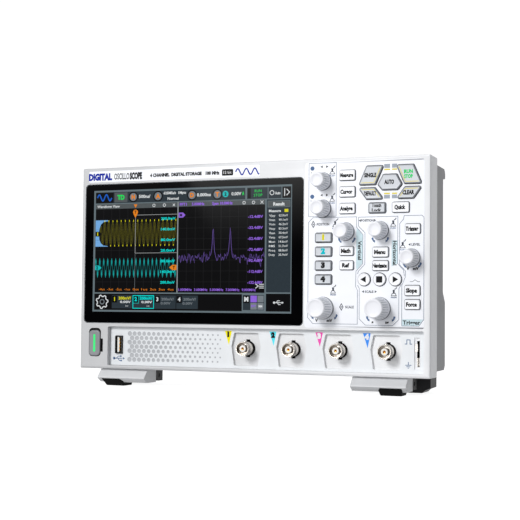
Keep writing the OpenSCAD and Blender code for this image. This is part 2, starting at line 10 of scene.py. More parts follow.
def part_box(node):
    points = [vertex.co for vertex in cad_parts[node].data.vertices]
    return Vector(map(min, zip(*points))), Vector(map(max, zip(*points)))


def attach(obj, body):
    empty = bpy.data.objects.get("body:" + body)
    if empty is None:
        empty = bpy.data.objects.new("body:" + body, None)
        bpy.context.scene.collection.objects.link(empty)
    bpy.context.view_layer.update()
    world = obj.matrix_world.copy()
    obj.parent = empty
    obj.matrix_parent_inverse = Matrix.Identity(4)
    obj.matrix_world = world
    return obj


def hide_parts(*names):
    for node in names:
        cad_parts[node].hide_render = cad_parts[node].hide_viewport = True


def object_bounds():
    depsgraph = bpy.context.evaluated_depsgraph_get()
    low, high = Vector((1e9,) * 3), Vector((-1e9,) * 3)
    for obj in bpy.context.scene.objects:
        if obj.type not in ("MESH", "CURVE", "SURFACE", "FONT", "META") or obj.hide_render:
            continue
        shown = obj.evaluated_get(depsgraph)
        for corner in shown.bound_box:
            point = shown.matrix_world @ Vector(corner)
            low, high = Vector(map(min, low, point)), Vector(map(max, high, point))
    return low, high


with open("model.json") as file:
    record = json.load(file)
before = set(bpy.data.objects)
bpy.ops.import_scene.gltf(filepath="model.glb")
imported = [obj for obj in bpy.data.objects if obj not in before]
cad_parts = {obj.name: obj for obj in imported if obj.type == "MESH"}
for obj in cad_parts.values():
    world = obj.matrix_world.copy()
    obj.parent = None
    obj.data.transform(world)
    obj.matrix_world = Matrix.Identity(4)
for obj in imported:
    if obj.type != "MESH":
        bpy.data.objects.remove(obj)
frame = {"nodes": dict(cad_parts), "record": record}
cad_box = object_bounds()

# Everything below is drawn in panel coordinates, in millimetres: x from the left edge of the
# bezel, y behind its front face, z from its lower edge. TO_ROW turns them into the row frame.
MM = 0.001
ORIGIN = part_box("front_bezel")[0]
TO_ROW = Matrix.Translation(ORIGIN) @ Matrix.Scale(MM, 4)
TO_PANEL = TO_ROW.inverted()
NODES = frame["nodes"]
RECORD = frame["record"]
BODY_OF = {n: b for b, group in RECORD["behaviour"]["bodies"].items() for n in group}
SLOT_OF = {s["node"]: s["material_slot"] for s in RECORD["subparts"]}


def panel_box(node):
    """Lowest and highest corner of a CAD node in panel coordinates."""
    lo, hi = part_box(node)
    return TO_PANEL @ lo, TO_PANEL @ hi


def linear(*rgb):
    """sRGB values of 0 to 255 as the linear colour that a shader takes."""
    return [c / 255 / 12.92 if c <= 10 else ((c / 255 + 0.055) / 1.055) ** 2.4 for c in rgb] + [1.0]


# ---- materials


def feed(node, values):
    """Sets a node's inputs by name or number. A value that is an output socket is linked."""
    for key, value in values.items():
        if isinstance(value, bpy.types.NodeSocket):
            node.id_data.links.new(value, node.inputs[key])
        else:
            node.inputs[key].default_value = value


def finish_material(
    name, dark, light, rough=0.45, grain=2200.0, bump=0.12, cloud=55.0, metallic=0.0, specular=0.5,
    stretch=(1, 1, 1), glow=0.0, across=None, fade=0.0
):
    """A finish whose tint drifts between two colours, with a fine grain in its gloss and relief.

    across is the share of the tint that is left at the left side of the case, a painted shade that darkens
    the finish towards the left, and fade the specular level at the top of the glass, which falls to
    nothing in the middle of it.
    """
    material = bpy.data.materials.new(name)
    material.use_nodes = True
    nodes = material.node_tree.nodes
    shader = nodes["Principled BSDF"]
    feed(shader, {"Metallic": metallic, "Specular IOR Level": specular})

    def make(kind, values, **settings):
        node = nodes.new("ShaderNode" + kind)
        for key, value in settings.items():
            setattr(node, key, value)
        feed(node, values)
        return node.outputs

    def ramp(value, low, high, bottom=0.0, top=1.0, **settings):
        """A value mapped from the range low to high onto bottom to top."""
        ends = {"From Min": low, "From Max": high, "To Min": bottom, "To Max": top}
        return make("MapRange", {"Value": value, **ends}, **settings)["Result"]

    place = make("TexCoord", {})["Object"]
    squeezed = make("Mapping", {"Vector": place, "Scale": stretch})["Vector"]
    drift = make("TexNoise", {"Vector": squeezed, "Scale": cloud, "Detail": 4})["Fac"]
    fine = make("TexNoise", {"Vector": squeezed, "Scale": grain, "Detail": 2})["Fac"]
    share = make("Math", {0: fine, 1: 0.35, 2: drift}, operation="MULTIPLY_ADD")[0]
    mixed = {"Factor": ramp(share, 0.35, 1.0), "A": dark, "B": light}
    colour = make("Mix", mixed, data_type="RGBA")["Result"]
    # Painted shade: the tint darkens towards the left side of the case
    if across:
        x = make("SeparateXYZ", {"Vector": place})["X"]
        left, right = cad_box[0][0], cad_box[1][0]
        slope = ramp(x, left, right, across, interpolation_type="SMOOTHSTEP")
        colour = make("VectorMath", {0: colour, "Scale": slope}, operation="SCALE")["Vector"]
    if fade:
        z = make("SeparateXYZ", {"Vector": place})["Z"]
        lo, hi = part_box("touch_glass")
        square = make("Math", {0: ramp(z, lo.z + 0.048, hi.z), 1: 2}, operation="POWER")[0]
        level = make("Math", {0: square, 1: fade}, operation="MULTIPLY")[0]
        feed(shader, {"Specular IOR Level": level})
    if glow:
        feed(shader, {"Base Color": (0.004, 0.004, 0.004, 1), "Emission Color": colour})
        feed(shader, {"Emission Strength": glow})
    else:
        feed(shader, {"Base Color": colour})
    feed(shader, {"Roughness": ramp(fine, 0, 1, max(0.02, rough - 0.05), min(1, rough + 0.05))})
    if bump:
        relief = make("Bump", {"Strength": bump, "Distance": 0.0001, "Height": fine})
        feed(shader, {"Normal": relief["Normal"]})
    return material


def finish(name, dark, light, *rest, **options):
    """A finish between two sRGB colours."""
    return finish_material(name, linear(*dark), linear(*light), *rest, **options)


def one_colour(name, rgb, low, **options):
    """A finish that drifts from one sRGB colour down to the share low of it."""
    full = linear(*rgb)
    return finish_material(name, [low * c for c in full[:3]] + [1.0], full, **options)


def lit(name, *rgb, glow=1.0):
    """A colour of the lit display: the light of its pixels under smooth glass."""
    smooth = {"rough": 0.06, "grain": 6000, "bump": 0, "cloud": 900, "fade": 0.05}
    return one_colour(name, rgb, 0.8, glow=glow, **smooth)


def ink(name, *rgb, rough=0.4):
    return one_colour(name, rgb, 0.85, rough=rough, grain=3500, bump=0.05, cloud=400, specular=0.1)


# The bezel and the input strip carry painted shade, darker towards the left of the case
BEZEL = finish("bezel_plastic", (232, 233, 235), (243, 244, 246), 0.42, across=0.62)
SHEET = finish("panel_sheet", (238, 240, 246), (246, 248, 253), 0.36, grain=3000, bump=0.06)
STRIP = finish("strip_sheet", (228, 231, 234), (237, 240, 243), 0.38, grain=3000, bump=0.06, across=0.9)
GRILLE = finish("grille_grey", (168, 170, 174), (184, 186, 190), 0.6)
GLASS = finish("cover_glass", (3, 3, 4), (6, 6, 7), 0.05, bump=0, fade=0.05)
GLASS_RIM = finish("glass_rim", (120, 124, 128), (150, 154, 158), 0.2)
COVER = finish("cover_plastic", (122, 123, 126), (138, 139, 142), 0.5, grain=1700, bump=0.3)
FOOT = finish("foot_plastic", (24, 24, 26), (34, 34, 36), 0.5, grain=1700, bump=0.3, specular=0.2)
LEG = finish("leg_plastic", (204, 205, 207), (216, 217, 219), 0.42)
RUBBER = finish("black_rubber", (2, 2, 2), (5, 5, 5), 0.75, grain=900, bump=0.35, specular=0.08)
KEY_WHITE = finish("key_white", (243, 244, 248), (251, 252, 255), 0.4)
KEY_GREY = finish("key_grey", (193, 197, 203), (206, 210, 216), 0.38)
POWER = finish("power_key_plastic", (122, 124, 128), (137, 139, 143), 0.4)
KNOB = finish("knob_plastic", (232, 233, 238), (242, 243, 248), 0.34)
NICKEL = finish(
    "nickel_metal", (206, 200, 192), (232, 227, 220), 0.24, grain=3500, bump=0.04, cloud=260,
    metallic=1.0, stretch=(1, 4, 1)
)
STEEL = finish(
    "socket_steel", (128, 130, 133), (168, 170, 173), 0.28, grain=2600, bump=0.08, metallic=1.0,
    stretch=(1, 1, 0.1)
)
GOLD = finish("gold_contact", (190, 130, 48), (226, 170, 84), 0.2, metallic=1.0, bump=0.03)
INSULATOR = finish("white_insulator", (236, 234, 228), (248, 247, 243), 0.4)
BOARD = finish("circuit_board", (10, 62, 36), (22, 92, 56), 0.35, grain=5200, bump=0.2, cloud=240)
SILICONE = finish("silicone_mat", (196, 196, 190), (214, 214, 208), 0.7)
DISPLAY_FRAME = finish("display_frame", (120, 122, 125), (150, 152, 155), 0.32, metallic=0.8)
FAN = finish("fan_plastic", (20, 20, 21), (34, 34, 36), 0.42)
TONGUE = ink("socket_tongue", 240, 240, 234)
# Dark finish: painted shade in the gaps round the keys and inside openings and sockets; also the network
# socket's own dark plastic
DARK_AND_GAP_SHADE = finish("dark_gap", (10, 10, 11), (20, 20, 22), 0.6)

BLACK_INK = ink("black_ink", 12, 12, 15)
GREY_INK = ink("grey_ink", 52, 58, 70)
BLUE_INK = ink("blue_ink", 84, 112, 152)
LINE_INK = ink("line_ink", 104, 116, 138)
NAVY_INK = ink("navy_ink", 22, 44, 158)
CYAN_TAB = ink("cyan_tab", 212, 234, 240)
YELLOW_INK = ink("yellow_ink", 236, 218, 84)
BAR_INK = ink("bar_ink", 168, 176, 188)
WHITE_INK = ink("white_ink", 248, 248, 250)
# Painted shade: in the flutes of the knobs, round their feet, on the sides of the keys, and on the barrels
# of the inputs
GROOVE_SHADE = finish("knob_groove", (196, 199, 206), (208, 211, 218), 0.5)
KNOB_FOOT_SHADE = ink("knob_gap", 150, 154, 162, rough=0.8)
# Painted shade on the sides of the grey and the white keys
KEY_EDGE_SHADE = finish("key_edge", (112, 116, 122), (130, 134, 140), 0.45)
KEY_SIDE_SHADE = finish("key_side", (158, 162, 170), (172, 176, 184), 0.45)
BLACK_PAINTED_SHADE = finish("lug_metal", (3, 3, 3), (7, 7, 8), 0.5, specular=0.08, bump=0.03)
NICKEL_PAINTED_SHADE = finish("nickel_shade", (88, 74, 58), (128, 112, 92), 0.3, metallic=1.0, bump=0.04)
CHANNEL_INKS = [
    ink("channel_yellow", 255, 242, 0), ink("channel_cyan", 96, 238, 252),
    ink("channel_pink", 255, 84, 190), ink("channel_blue", 66, 152, 255)
]

# ---- mesh tools


def circle(cx, cz, r, n=32, start=0.0):
    return [
        (cx + r * cos(start + 2 * pi * i / n), cz + r * sin(start + 2 * pi * i / n)) for i in range(n)
    ]


def rectangle(x0, z0, x1, z1):
    return [(x0, z0), (x1, z0), (x1, z1), (x0, z1)]


def rounded(points, r, steps=4):
    """A convex outline with its corners rounded to radius r."""
    out = []
    for i, p in enumerate(points):
        p = Vector(p)
        a = (Vector(points[i - 1]) - p).normalized()
        b = (Vector(points[(i + 1) % len(points)]) - p).normalized()
        half = a.angle(b) / 2
        centre = p + (a + b).normalized() * r / sin(half)
        first = p + a * r / tan(half) - centre
        last = p + b * r / tan(half) - centre
        for k in range(steps + 1):
            mixed = first.lerp(last, k / steps)
            out.append(tuple(centre + mixed.normalized() * r))
    return out


def grown(points, d):
    """An anticlockwise outline moved outwards by d, or inwards when d is below zero."""
    out = []
    for i, p in enumerate(points):
        p = Vector(p)
        a = (p - Vector(points[i - 1])).normalized()
        b = (Vector(points[(i + 1) % len(points)]) - p).normalized()
        normal = Vector((a.y + b.y, -a.x - b.x)).normalized()
        out.append(tuple(p + normal * d / max(0.4, normal.dot(Vector((a.y, -a.x))))))
    return out


def place_object(name, data):
    obj = bpy.data.objects.new(name, data)
    bpy.context.scene.collection.objects.link(obj)
    return obj


def to_object(name, bm, materials, body="case", crease=32, replaces=()):
    """Makes a piece from a mesh drawn in panel coordinates, and lets it ride on its body."""
    bmesh.ops.recalc_face_normals(bm, faces=bm.faces)
    mesh = bpy.data.meshes.new(name)
    bm.to_mesh(mesh)
    bm.free()
    mesh.transform(TO_ROW)
    for material in materials:
        mesh.materials.append(material)
    mesh.shade_smooth()
    mesh.set_sharp_from_angle(angle=radians(crease))
    obj = place_object(name, mesh)
    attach(obj, body)
    if replaces:
        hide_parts(*replaces)
    return obj


def dress(node, material):
    """Gives a CAD node its finish."""
    mesh = NODES[node].data
    mesh.materials.clear()
    mesh.materials.append(material)


def soften(node, width, material, segments=2, angle=28):
    """Stands for a CAD node, with its sharp edges rounded."""
    bm = bmesh.new()
    bm.from_mesh(NODES[node].data)
    bmesh.ops.remove_doubles(bm, verts=bm.verts, dist=1e-6)
    bmesh.ops.dissolve_limit(bm, angle_limit=radians(0.4), verts=bm.verts, edges=bm.edges)
    bm.transform(TO_PANEL)
    obj = to_object(node + "_shell", bm, [material], BODY_OF[node], 30, [node])
    if "custom_normal" in obj.data.attributes:
        obj.data.attributes.remove(obj.data.attributes["custom_normal"])
    bevel = obj.modifiers.new("edges", "BEVEL")
    bevel.width = width * MM
    bevel.segments = segments
    bevel.limit_method = "ANGLE"
    bevel.angle_limit = radians(angle)
    bevel.harden_normals = True
    return obj


def skin(bm, rows, index=0):
    """Joins each ring of vertices to the next."""
    for a, b in zip(rows, rows[1:]):
        for i in range(len(a)):
            j = (i + 1) % len(a)
            bm.faces.new((a[i], a[j], b[j], b[i])).material_index = index


def loft(bm, rings):
    """Skins a list of rings of points in panel coordinates, and closes both ends."""
    rows = [[bm.verts.new(p) for p in ring] for ring in rings]
    skin(bm, rows)
    bm.faces.new(rows[0])
    bm.faces.new(rows[-1])


def revolve(bm, cx, cz, profile, n=64, closed=False, shape=None):
    """Turns a profile of (radius, y) about an axis along Y. shape may change a radius by angle."""
    rings = []
    for r, y in profile:
        ring = []
        for i in range(n):
            a = 2 * pi * i / n
            rr = shape(r, y, a) if shape else r
            ring.append((cx + rr * cos(a), y, cz + rr * sin(a)))
        rings.append(ring)
    if closed:
        rows = [[bm.verts.new(p) for p in ring] for ring in rings]
        skin(bm, [*rows, rows[0]])
    else:
        loft(bm, rings)


def add_placed(bm, made, place):
    """Moves a finished mesh to its place and joins it to bm."""
    made.transform(place)
    copy = bpy.data.meshes.new("copy")
    made.to_mesh(copy)
    made.free()
    bm.from_mesh(copy)
    bpy.data.meshes.remove(copy)


def plate(bm, outer, holes, y0, y1):
    """A flat plate between y0 and y1 with any number of openings."""
    curve = bpy.data.curves.new("plate", "CURVE")
    curve.dimensions = "2D"
    curve.fill_mode = "BOTH"
    curve.extrude = (y1 - y0) / 2
    for loop in [outer, *holes]:
        spline = curve.splines.new("POLY")
        spline.points.add(len(loop) - 1)
        for point, (x, z) in zip(spline.points, loop):
            point.co = (x, z, 0, 1)
        spline.use_cyclic_u = True
    add_flat(bm, curve, Matrix.Translation((0, (y0 + y1) / 2, 0)))


def plates(name, material, *parts, slot="bezel_plastic", crease=32):
    """A piece of flat plates, each given as (outline, holes, front, back)."""
    bm = bmesh.new()
    for part in parts:
        plate(bm, *part)
    to_object(name, bm, [material], crease=crease)


STAND_UP = Matrix.Rotation(radians(90), 4, "X")


def add_flat(bm, curve, place):
    """Adds a curve drawn in X and Y, stood up to face -Y and put in its place."""
    holder = bpy.data.objects.new("holder", curve)
    mesh = bpy.data.meshes.new_from_object(holder)
    mesh.transform(place @ STAND_UP)
    bm.from_mesh(mesh)
    bmesh.ops.remove_doubles(bm, verts=bm.verts, dist=1e-5)
    bpy.data.objects.remove(holder)
    bpy.data.curves.remove(curve)
    bpy.data.meshes.remove(mesh)


CAP_HEIGHT = 0.685  # of the built-in typeface, at size 1
GLYPHS = {}


def glyphs(text, bold):
    """Flat letters one unit thick, as (points, faces, lowest x, highest x)."""
    if (text, bold) not in GLYPHS:
        curve = bpy.data.curves.new("letters", "FONT")
        curve.body = text
        curve.size = 1
        curve.resolution_u = 2
        curve.offset = bold
        curve.extrude = 0.5
        bm = bmesh.new()
        add_flat(bm, curve, Matrix())
        points = [v.co.copy() for v in bm.verts]
        faces = [[v.index for v in f.verts] for f in bm.faces]
        bm.free()
        xs = [p.x for p in points]
        GLYPHS[text, bold] = points, faces, min(xs), max(xs)
    return GLYPHS[text, bold]


class Print:
    """Thin shapes of one colour that lie on a surface, gathered into one mesh."""

    def __init__(self, y, thick=0.03, bm=None, index=0):
        self.bm = bm or bmesh.new()
        self.y = y
        self.thick = thick
        self.index = index

    def at(self, y):
        """The same colour on another level."""
        return Print(y, self.thick, self.bm, self.index)

    def shape(self, points):
        front = [self.bm.verts.new((x, self.y, z)) for x, z in points]
        back = [self.bm.verts.new((x, self.y + self.thick, z)) for x, z in points]
        faces = [self.bm.faces.new(front), self.bm.faces.new(back[::-1])]
        for i in range(len(points)):
            j = (i + 1) % len(points)
            faces.append(self.bm.faces.new((front[i], back[i], back[j], front[j])))
        for face in faces:
            face.material_index = self.index

    def box(self, x0, z0, x1, z1):
        self.shape(rectangle(x0, z0, x1, z1))

    def dot(self, cx, cz, r, n=20):
        self.shape(circle(cx, cz, r, n))

    def line(self, points, width=0.3, closed=False):
        """A line of even width along points, with mitred corners."""
        n = len(points)
        sides = []
        for i in range(n):
            p = Vector(points[i])
            before = p - Vector(points[i - 1]) if closed or i else None
            after = Vector(points[(i + 1) % n]) - p if closed or i < n - 1 else None
            before = (before or after).normalized()
            after = (after or before).normalized()
            normal = Vector((-before.y - after.y, before.x + after.x))
            if normal.length < 1e-6:
                normal = Vector((-before.y, before.x))
            normal.normalize()
            reach = width / 2 / max(0.5, normal.dot(Vector((-before.y, before.x))))
            sides.append((p + normal * reach, p - normal * reach))
        rows = []
        for a, b in sides:
            section = ((a, 0), (b, 0), (b, self.thick), (a, self.thick))
            rows.append([self.bm.verts.new((p.x, self.y + back, p.y)) for p, back in section])
        faces = []
        for i in range(n if closed else n - 1):
            a, b = rows[i], rows[(i + 1) % n]
            for k in range(4):
                m = (k + 1) % 4
                faces.append(self.bm.faces.new((a[k], a[m], b[m], b[k])))
        if not closed:
            faces += [self.bm.faces.new(rows[0][::-1]), self.bm.faces.new(rows[-1])]
        for face in faces:
            face.material_index = self.index

    def ring(self, cx, cz, r, width=0.25, n=24):
        self.line(circle(cx, cz, r, n), width, True)

    def triangle(self, cx, cz, size, angle):
        self.shape(circle(cx, cz, size, 3, radians(angle)))

    def text(self, text, cx, cz, height, width=None, bold=0.03, turn=0):
        points, faces, x0, x1 = glyphs(text, bold)
        up = height / CAP_HEIGHT
        along = width / (x1 - x0) if width else up
        c, s = cos(radians(turn)), sin(radians(turn))
        verts = []
        for p in points:
            z = p.z * up - height / 2
            x = (p.x - (x0 + x1) / 2) * along
            y = self.y + (p.y + 0.5) * self.thick
            verts.append(self.bm.verts.new((cx + c * x - s * z, y, cz + s * x + c * z)))
        for face in faces:
            made = self.bm.faces.new([verts[i] for i in face])
            made.material_index = self.index

    def piece(self, name, material, slot="bezel_plastic"):
        to_object(name, self.bm, [material], crease=30)


# ---- bezel and its sheets

PRINT_ON = -0.15  # front of the panel sheet
SHEET_LIP = 0.35

soften("front_bezel", 0.3, BEZEL)


def front_outline(node):
    """The outline of a key's face, anticlockwise in x and z, from the CAD node."""
    mesh = NODES[node].data
    points = [TO_PANEL @ v.co for v in mesh.vertices]
    front = min(p.y for p in points)
    face = {(round(p.x, 3), round(p.z, 3)) for p in points if p.y < front + 0.01}
    cx = sum(p[0] for p in face) / len(face)
    cz = sum(p[1] for p in face) / len(face)
    return sorted(face, key=lambda p: atan2(p[1] - cz, p[0] - cx)), front


def corners_of(outline):
    """The corners that a rounded outline would have with no rounds; none for a circle."""
    pairs = [(Vector(outline[i - 1]), Vector(p)) for i, p in enumerate(outline)]
    sides = [(a, b) for a, b in pairs if (b - a).length > 1.5]
    return [tuple(crossing(*sides[i - 1], *side)) for i, side in enumerate(sides)]


def crossing(a, b, c, d):
    """Where the line through a and b meets the line through c and d."""
    u, v = b - a, d - c
    t = (c - a).cross(v) / u.cross(v)
    return a + u * t


KEYS = [n for n in NODES if n.startswith("key_")]
OUTLINES = {n: front_outline(n) for n in [*KEYS, "power_button"]}


def ring_of(node, d, r):
    """The outline of a key's face moved outwards by d; r is the radius of its corners."""
    outline = OUTLINES[node][0]
    corners = corners_of(outline)
    if corners:
        return rounded(grown(corners, d), max(0.3, r + d))
    cx = sum(p[0] for p in outline) / len(outline)
    cz = sum(p[1] for p in outline) / len(outline)
    radius = sum(dist(p, (cx, cz)) for p in outline) / len(outline)
    return circle(cx, cz, radius + d, 40)


KNOBS = [n for n in NODES if n.startswith("knob_")]


def knob_axis(node):
    lo, hi = panel_box(node)
    return (lo.x + hi.x) / 2, (lo.z + hi.z) / 2


openings = [ring_of(n, 0.45, 1.0) for n in KEYS]
openings += [circle(*knob_axis(n), 3.8, 24) for n in KNOBS]
control_panel = rounded(rectangle(177.3, 32.6, 261.4, 146.7), 2.2)
plates("control_panel_sheet", SHEET, (control_panel, openings, PRINT_ON, 0.05))
# Dark rings deep in the gap round each key: painted shade
rings = [(ring_of(n, 0.44, 1.0), [ring_of(n, 0.06, 1.0)], 0.1, 0.3) for n in KEYS]
plates("key_gaps", DARK_AND_GAP_SHADE, *rings)
plates("name_strip", SHEET, (rounded(rectangle(5.6, 138.5, 143.2, 146.7), 0.8), [], -0.12, 0.05))

# The strip with the four inputs, sunk below the bezel
STRIP_Y = 4.4
STRIP_SHEET = STRIP_Y - SHEET_LIP
INPUTS = [(133.2 + 34.05 * i, 17.2) for i in range(4)]


def pocket(cx):
    """The barrel-shaped recess round an input."""
    left, right, bulge = cx - 9.9, cx + 8.3, 2.1
    low, middle, high = 4.8, 18.6, 28.2
    right_side = [(right, low), (right + bulge, middle), (right, high)]
    left_side = [(left, high), (left - bulge, middle)]
    return rounded([(left, low), *right_side, *left_side], 1)


def strip_sheet():
    holes = [grown(pocket(cx), 0.05) for cx, _ in INPUTS]
    holes.append(rectangle(28.1, 11.2, 34.1, 24.6))
    holes.append(rectangle(253.7, 5.9, 257.7, 26.9))
    # Perforation: staggered rows whose holes shrink to the right
    columns, rows, pitch = 19, 7, 3.94
    for k in range(rows):
        for i in range(columns):
            r = 1.78 - 1.14 * (i / (columns - 1)) ** 0.9
            x = 39.7 + pitch * (i + 0.5 * (k % 2))
            holes.append(circle(x, 7.1 + 3.17 * k, r, 14 if r > 0.9 else 10, 0.26))
    outer = rounded(rectangle(23.7, 2.9, 260.7, 30.9), 0.9)
    back = STRIP_Y + 0.02
    plates("input_strip_sheet", STRIP, (outer, holes, STRIP_SHEET, back), crease=40)
    plates("grille_backing", GRILLE, (rectangle(37, 4.8, 114.9, 28.8), [], STRIP_Y - 0.06, back))


strip_sheet()

# ---- glass and display

glass_lo, glass_hi = panel_box("touch_glass")
GLASS_Y = glass_lo.y
SCREEN = (9.9, 42.1, 167.5, 132.2)


def glass():
    outline = rounded(rectangle(glass_lo.x, glass_lo.z, glass_hi.x, glass_hi.z), 3, 6)
    window = rectangle(*SCREEN)
    bm = bmesh.new()
    plate(bm, grown(outline, -0.25), [window], GLASS_Y, GLASS_Y + 0.3)
    # The ground edge: a rounded lip round the whole pane
    back = glass_hi.y - GLASS_Y
    lip = [(-0.25, 0.3), (-0.25, 0), (-0.12, 0.03), (0, 0.15), (0, back), (-6, back), (-6, 0.3)]
    rows = []
    for inset, y in lip:
        rows.append([bm.verts.new((x, GLASS_Y + y, z)) for x, z in grown(outline, inset)])
    for k in range(len(rows)):
        skin(bm, (rows[k], rows[(k + 1) % len(rows)]), 1 if k in (1, 2) else 0)
    # The pane behind the window
    plate(bm, window, [], GLASS_Y + 0.27, GLASS_Y + 0.9)
    finishes = [GLASS, GLASS_RIM]
    to_object("touch_glass_pane", bm, finishes, crease=50, replaces=["touch_glass"])


glass()

# Levels of the picture's layers: the topmost letters, the text, and the marks behind it
TOP_Y = GLASS_Y + 0.02
TEXT_Y = GLASS_Y + 0.05
MARK_Y = GLASS_Y + 0.08
black = Print(GLASS_Y + 0.17)
slate = Print(GLASS_Y + 0.17)
steel = Print(GLASS_Y + 0.22)
grey = Print(GLASS_Y + 0.14)
faint = Print(GLASS_Y + 0.14)
white = Print(TEXT_Y)
yellow = Print(GLASS_Y + 0.11)
dim_yellow = Print(GLASS_Y + 0.13)
cyan = Print(GLASS_Y + 0.11)
dim_cyan = Print(GLASS_Y + 0.13)
aqua = Print(TEXT_Y)
ash = Print(GLASS_Y + 0.15)
purple = Print(GLASS_Y + 0.11)
violet = Print(TEXT_Y)
orange = Print(TEXT_Y)
green = Print(TEXT_Y)
sky = Print(GLASS_Y + 0.14)
blue = Print(TEXT_Y)
teal = Print(MARK_Y + 0.04)
pale = Print(MARK_Y)
bright_cyan = Print(GLASS_Y + 0.1)
# Levels of a colour that lies at several: boxes and wells behind the marks, letters before them
tile = slate.at(MARK_Y + 0.06)
well = black.at(MARK_Y + 0.03)
over = black.at(TOP_Y)


def cross(cx, cz, half=0.85, width=0.42):
    white.line([(cx - half, cz - half), (cx + half, cz + half)], width)
    white.at(TEXT_Y + 0.02).line([(cx - half, cz + half), (cx + half, cz - half)], width)


def grid(start, pitch, left, right, top, axis=0.14):
    """The graticule of a window, whose two middle lines are axis wide."""
    for i in range(1, 10):
        x = start + pitch * i
        faint.line([(x, 56.6), (x, top)], axis if i == 5 else 0.14)
    for i in range(1, 8):
        z = 56.4 + 7.75 * i
        faint.line([(left, z), (right, z)], axis if i == 4 else 0.14)


def top_bar():
    tile.box(11.3, 122.6, 132.2, 130.9)
    well.box(11.5, 122.9, 26.4, 130.6)
    wave = [(12.8 + 0.5 * i, 126.8 + 2.3 * sin(i * 0.52)) for i in range(25)]
    blue.line(wave, 1.0)
    ash.at(MARK_Y + 0.03).box(27.2, 123.2, 38, 130.4)
    green.text("TD", 32.6, 126.8, 3.2, 6, bold=0.06)
    for x, letter in ((42.9, "H"), (63.2, "A"), (90.6, "D"), (110.6, "T")):
        well.dot(x, 126.8, 3.9, 24)
        grey.at(MARK_Y).dot(x, 126.8, 2.9, 24)
        orange.text(letter, x, 126.8, 2.9, bold=0.06)
    for label in (
        ("500ns/", 52.3, 127, 2.2, 9.4), ("625MSa/s  1Mpts", 76.8, 128.9, 1.8, 18),
        ("Normal", 75.5, 124.8, 1.8, 9), ("0.000ns", 100, 126.8, 2.2, 11)
    ):
        white.text(*label)
    cyan.at(TEXT_Y).dot(117, 126.8, 2.3)
    over.text("2", 117, 126.8, 2.2, bold=0.05)
    white.text("0.00V", 125.4, 126.8, 2.2, 7.6)
    green.text("A", 130.6, 126.9, 2.4, 1.6, bold=0.04)
    tile.box(133.6, 122.7, 149.2, 130.8)
    well.box(134, 123.2, 136.4, 130.3)
    green.text("RUN", 142, 128.3, 1.9, 5.2, bold=0)
    green.text("STOP", 142, 125.3, 1.9, 6.4, bold=0)
    tile.box(149.8, 122.7, 159.6, 130.8)
    white.ring(152.5, 126.7, 1.5, 0.5)
    white.text("Auto", 156.8, 126.4, 1.9, 4)
    black.at(MARK_Y + 0.06).box(160.2, 122.7, 166.8, 130.8)
    white.line([(162, 129.6), (162, 124.2)], 0.6)
    white.line([(163.4, 129), (165.6, 126.8), (163.4, 124.6)], 0.6)


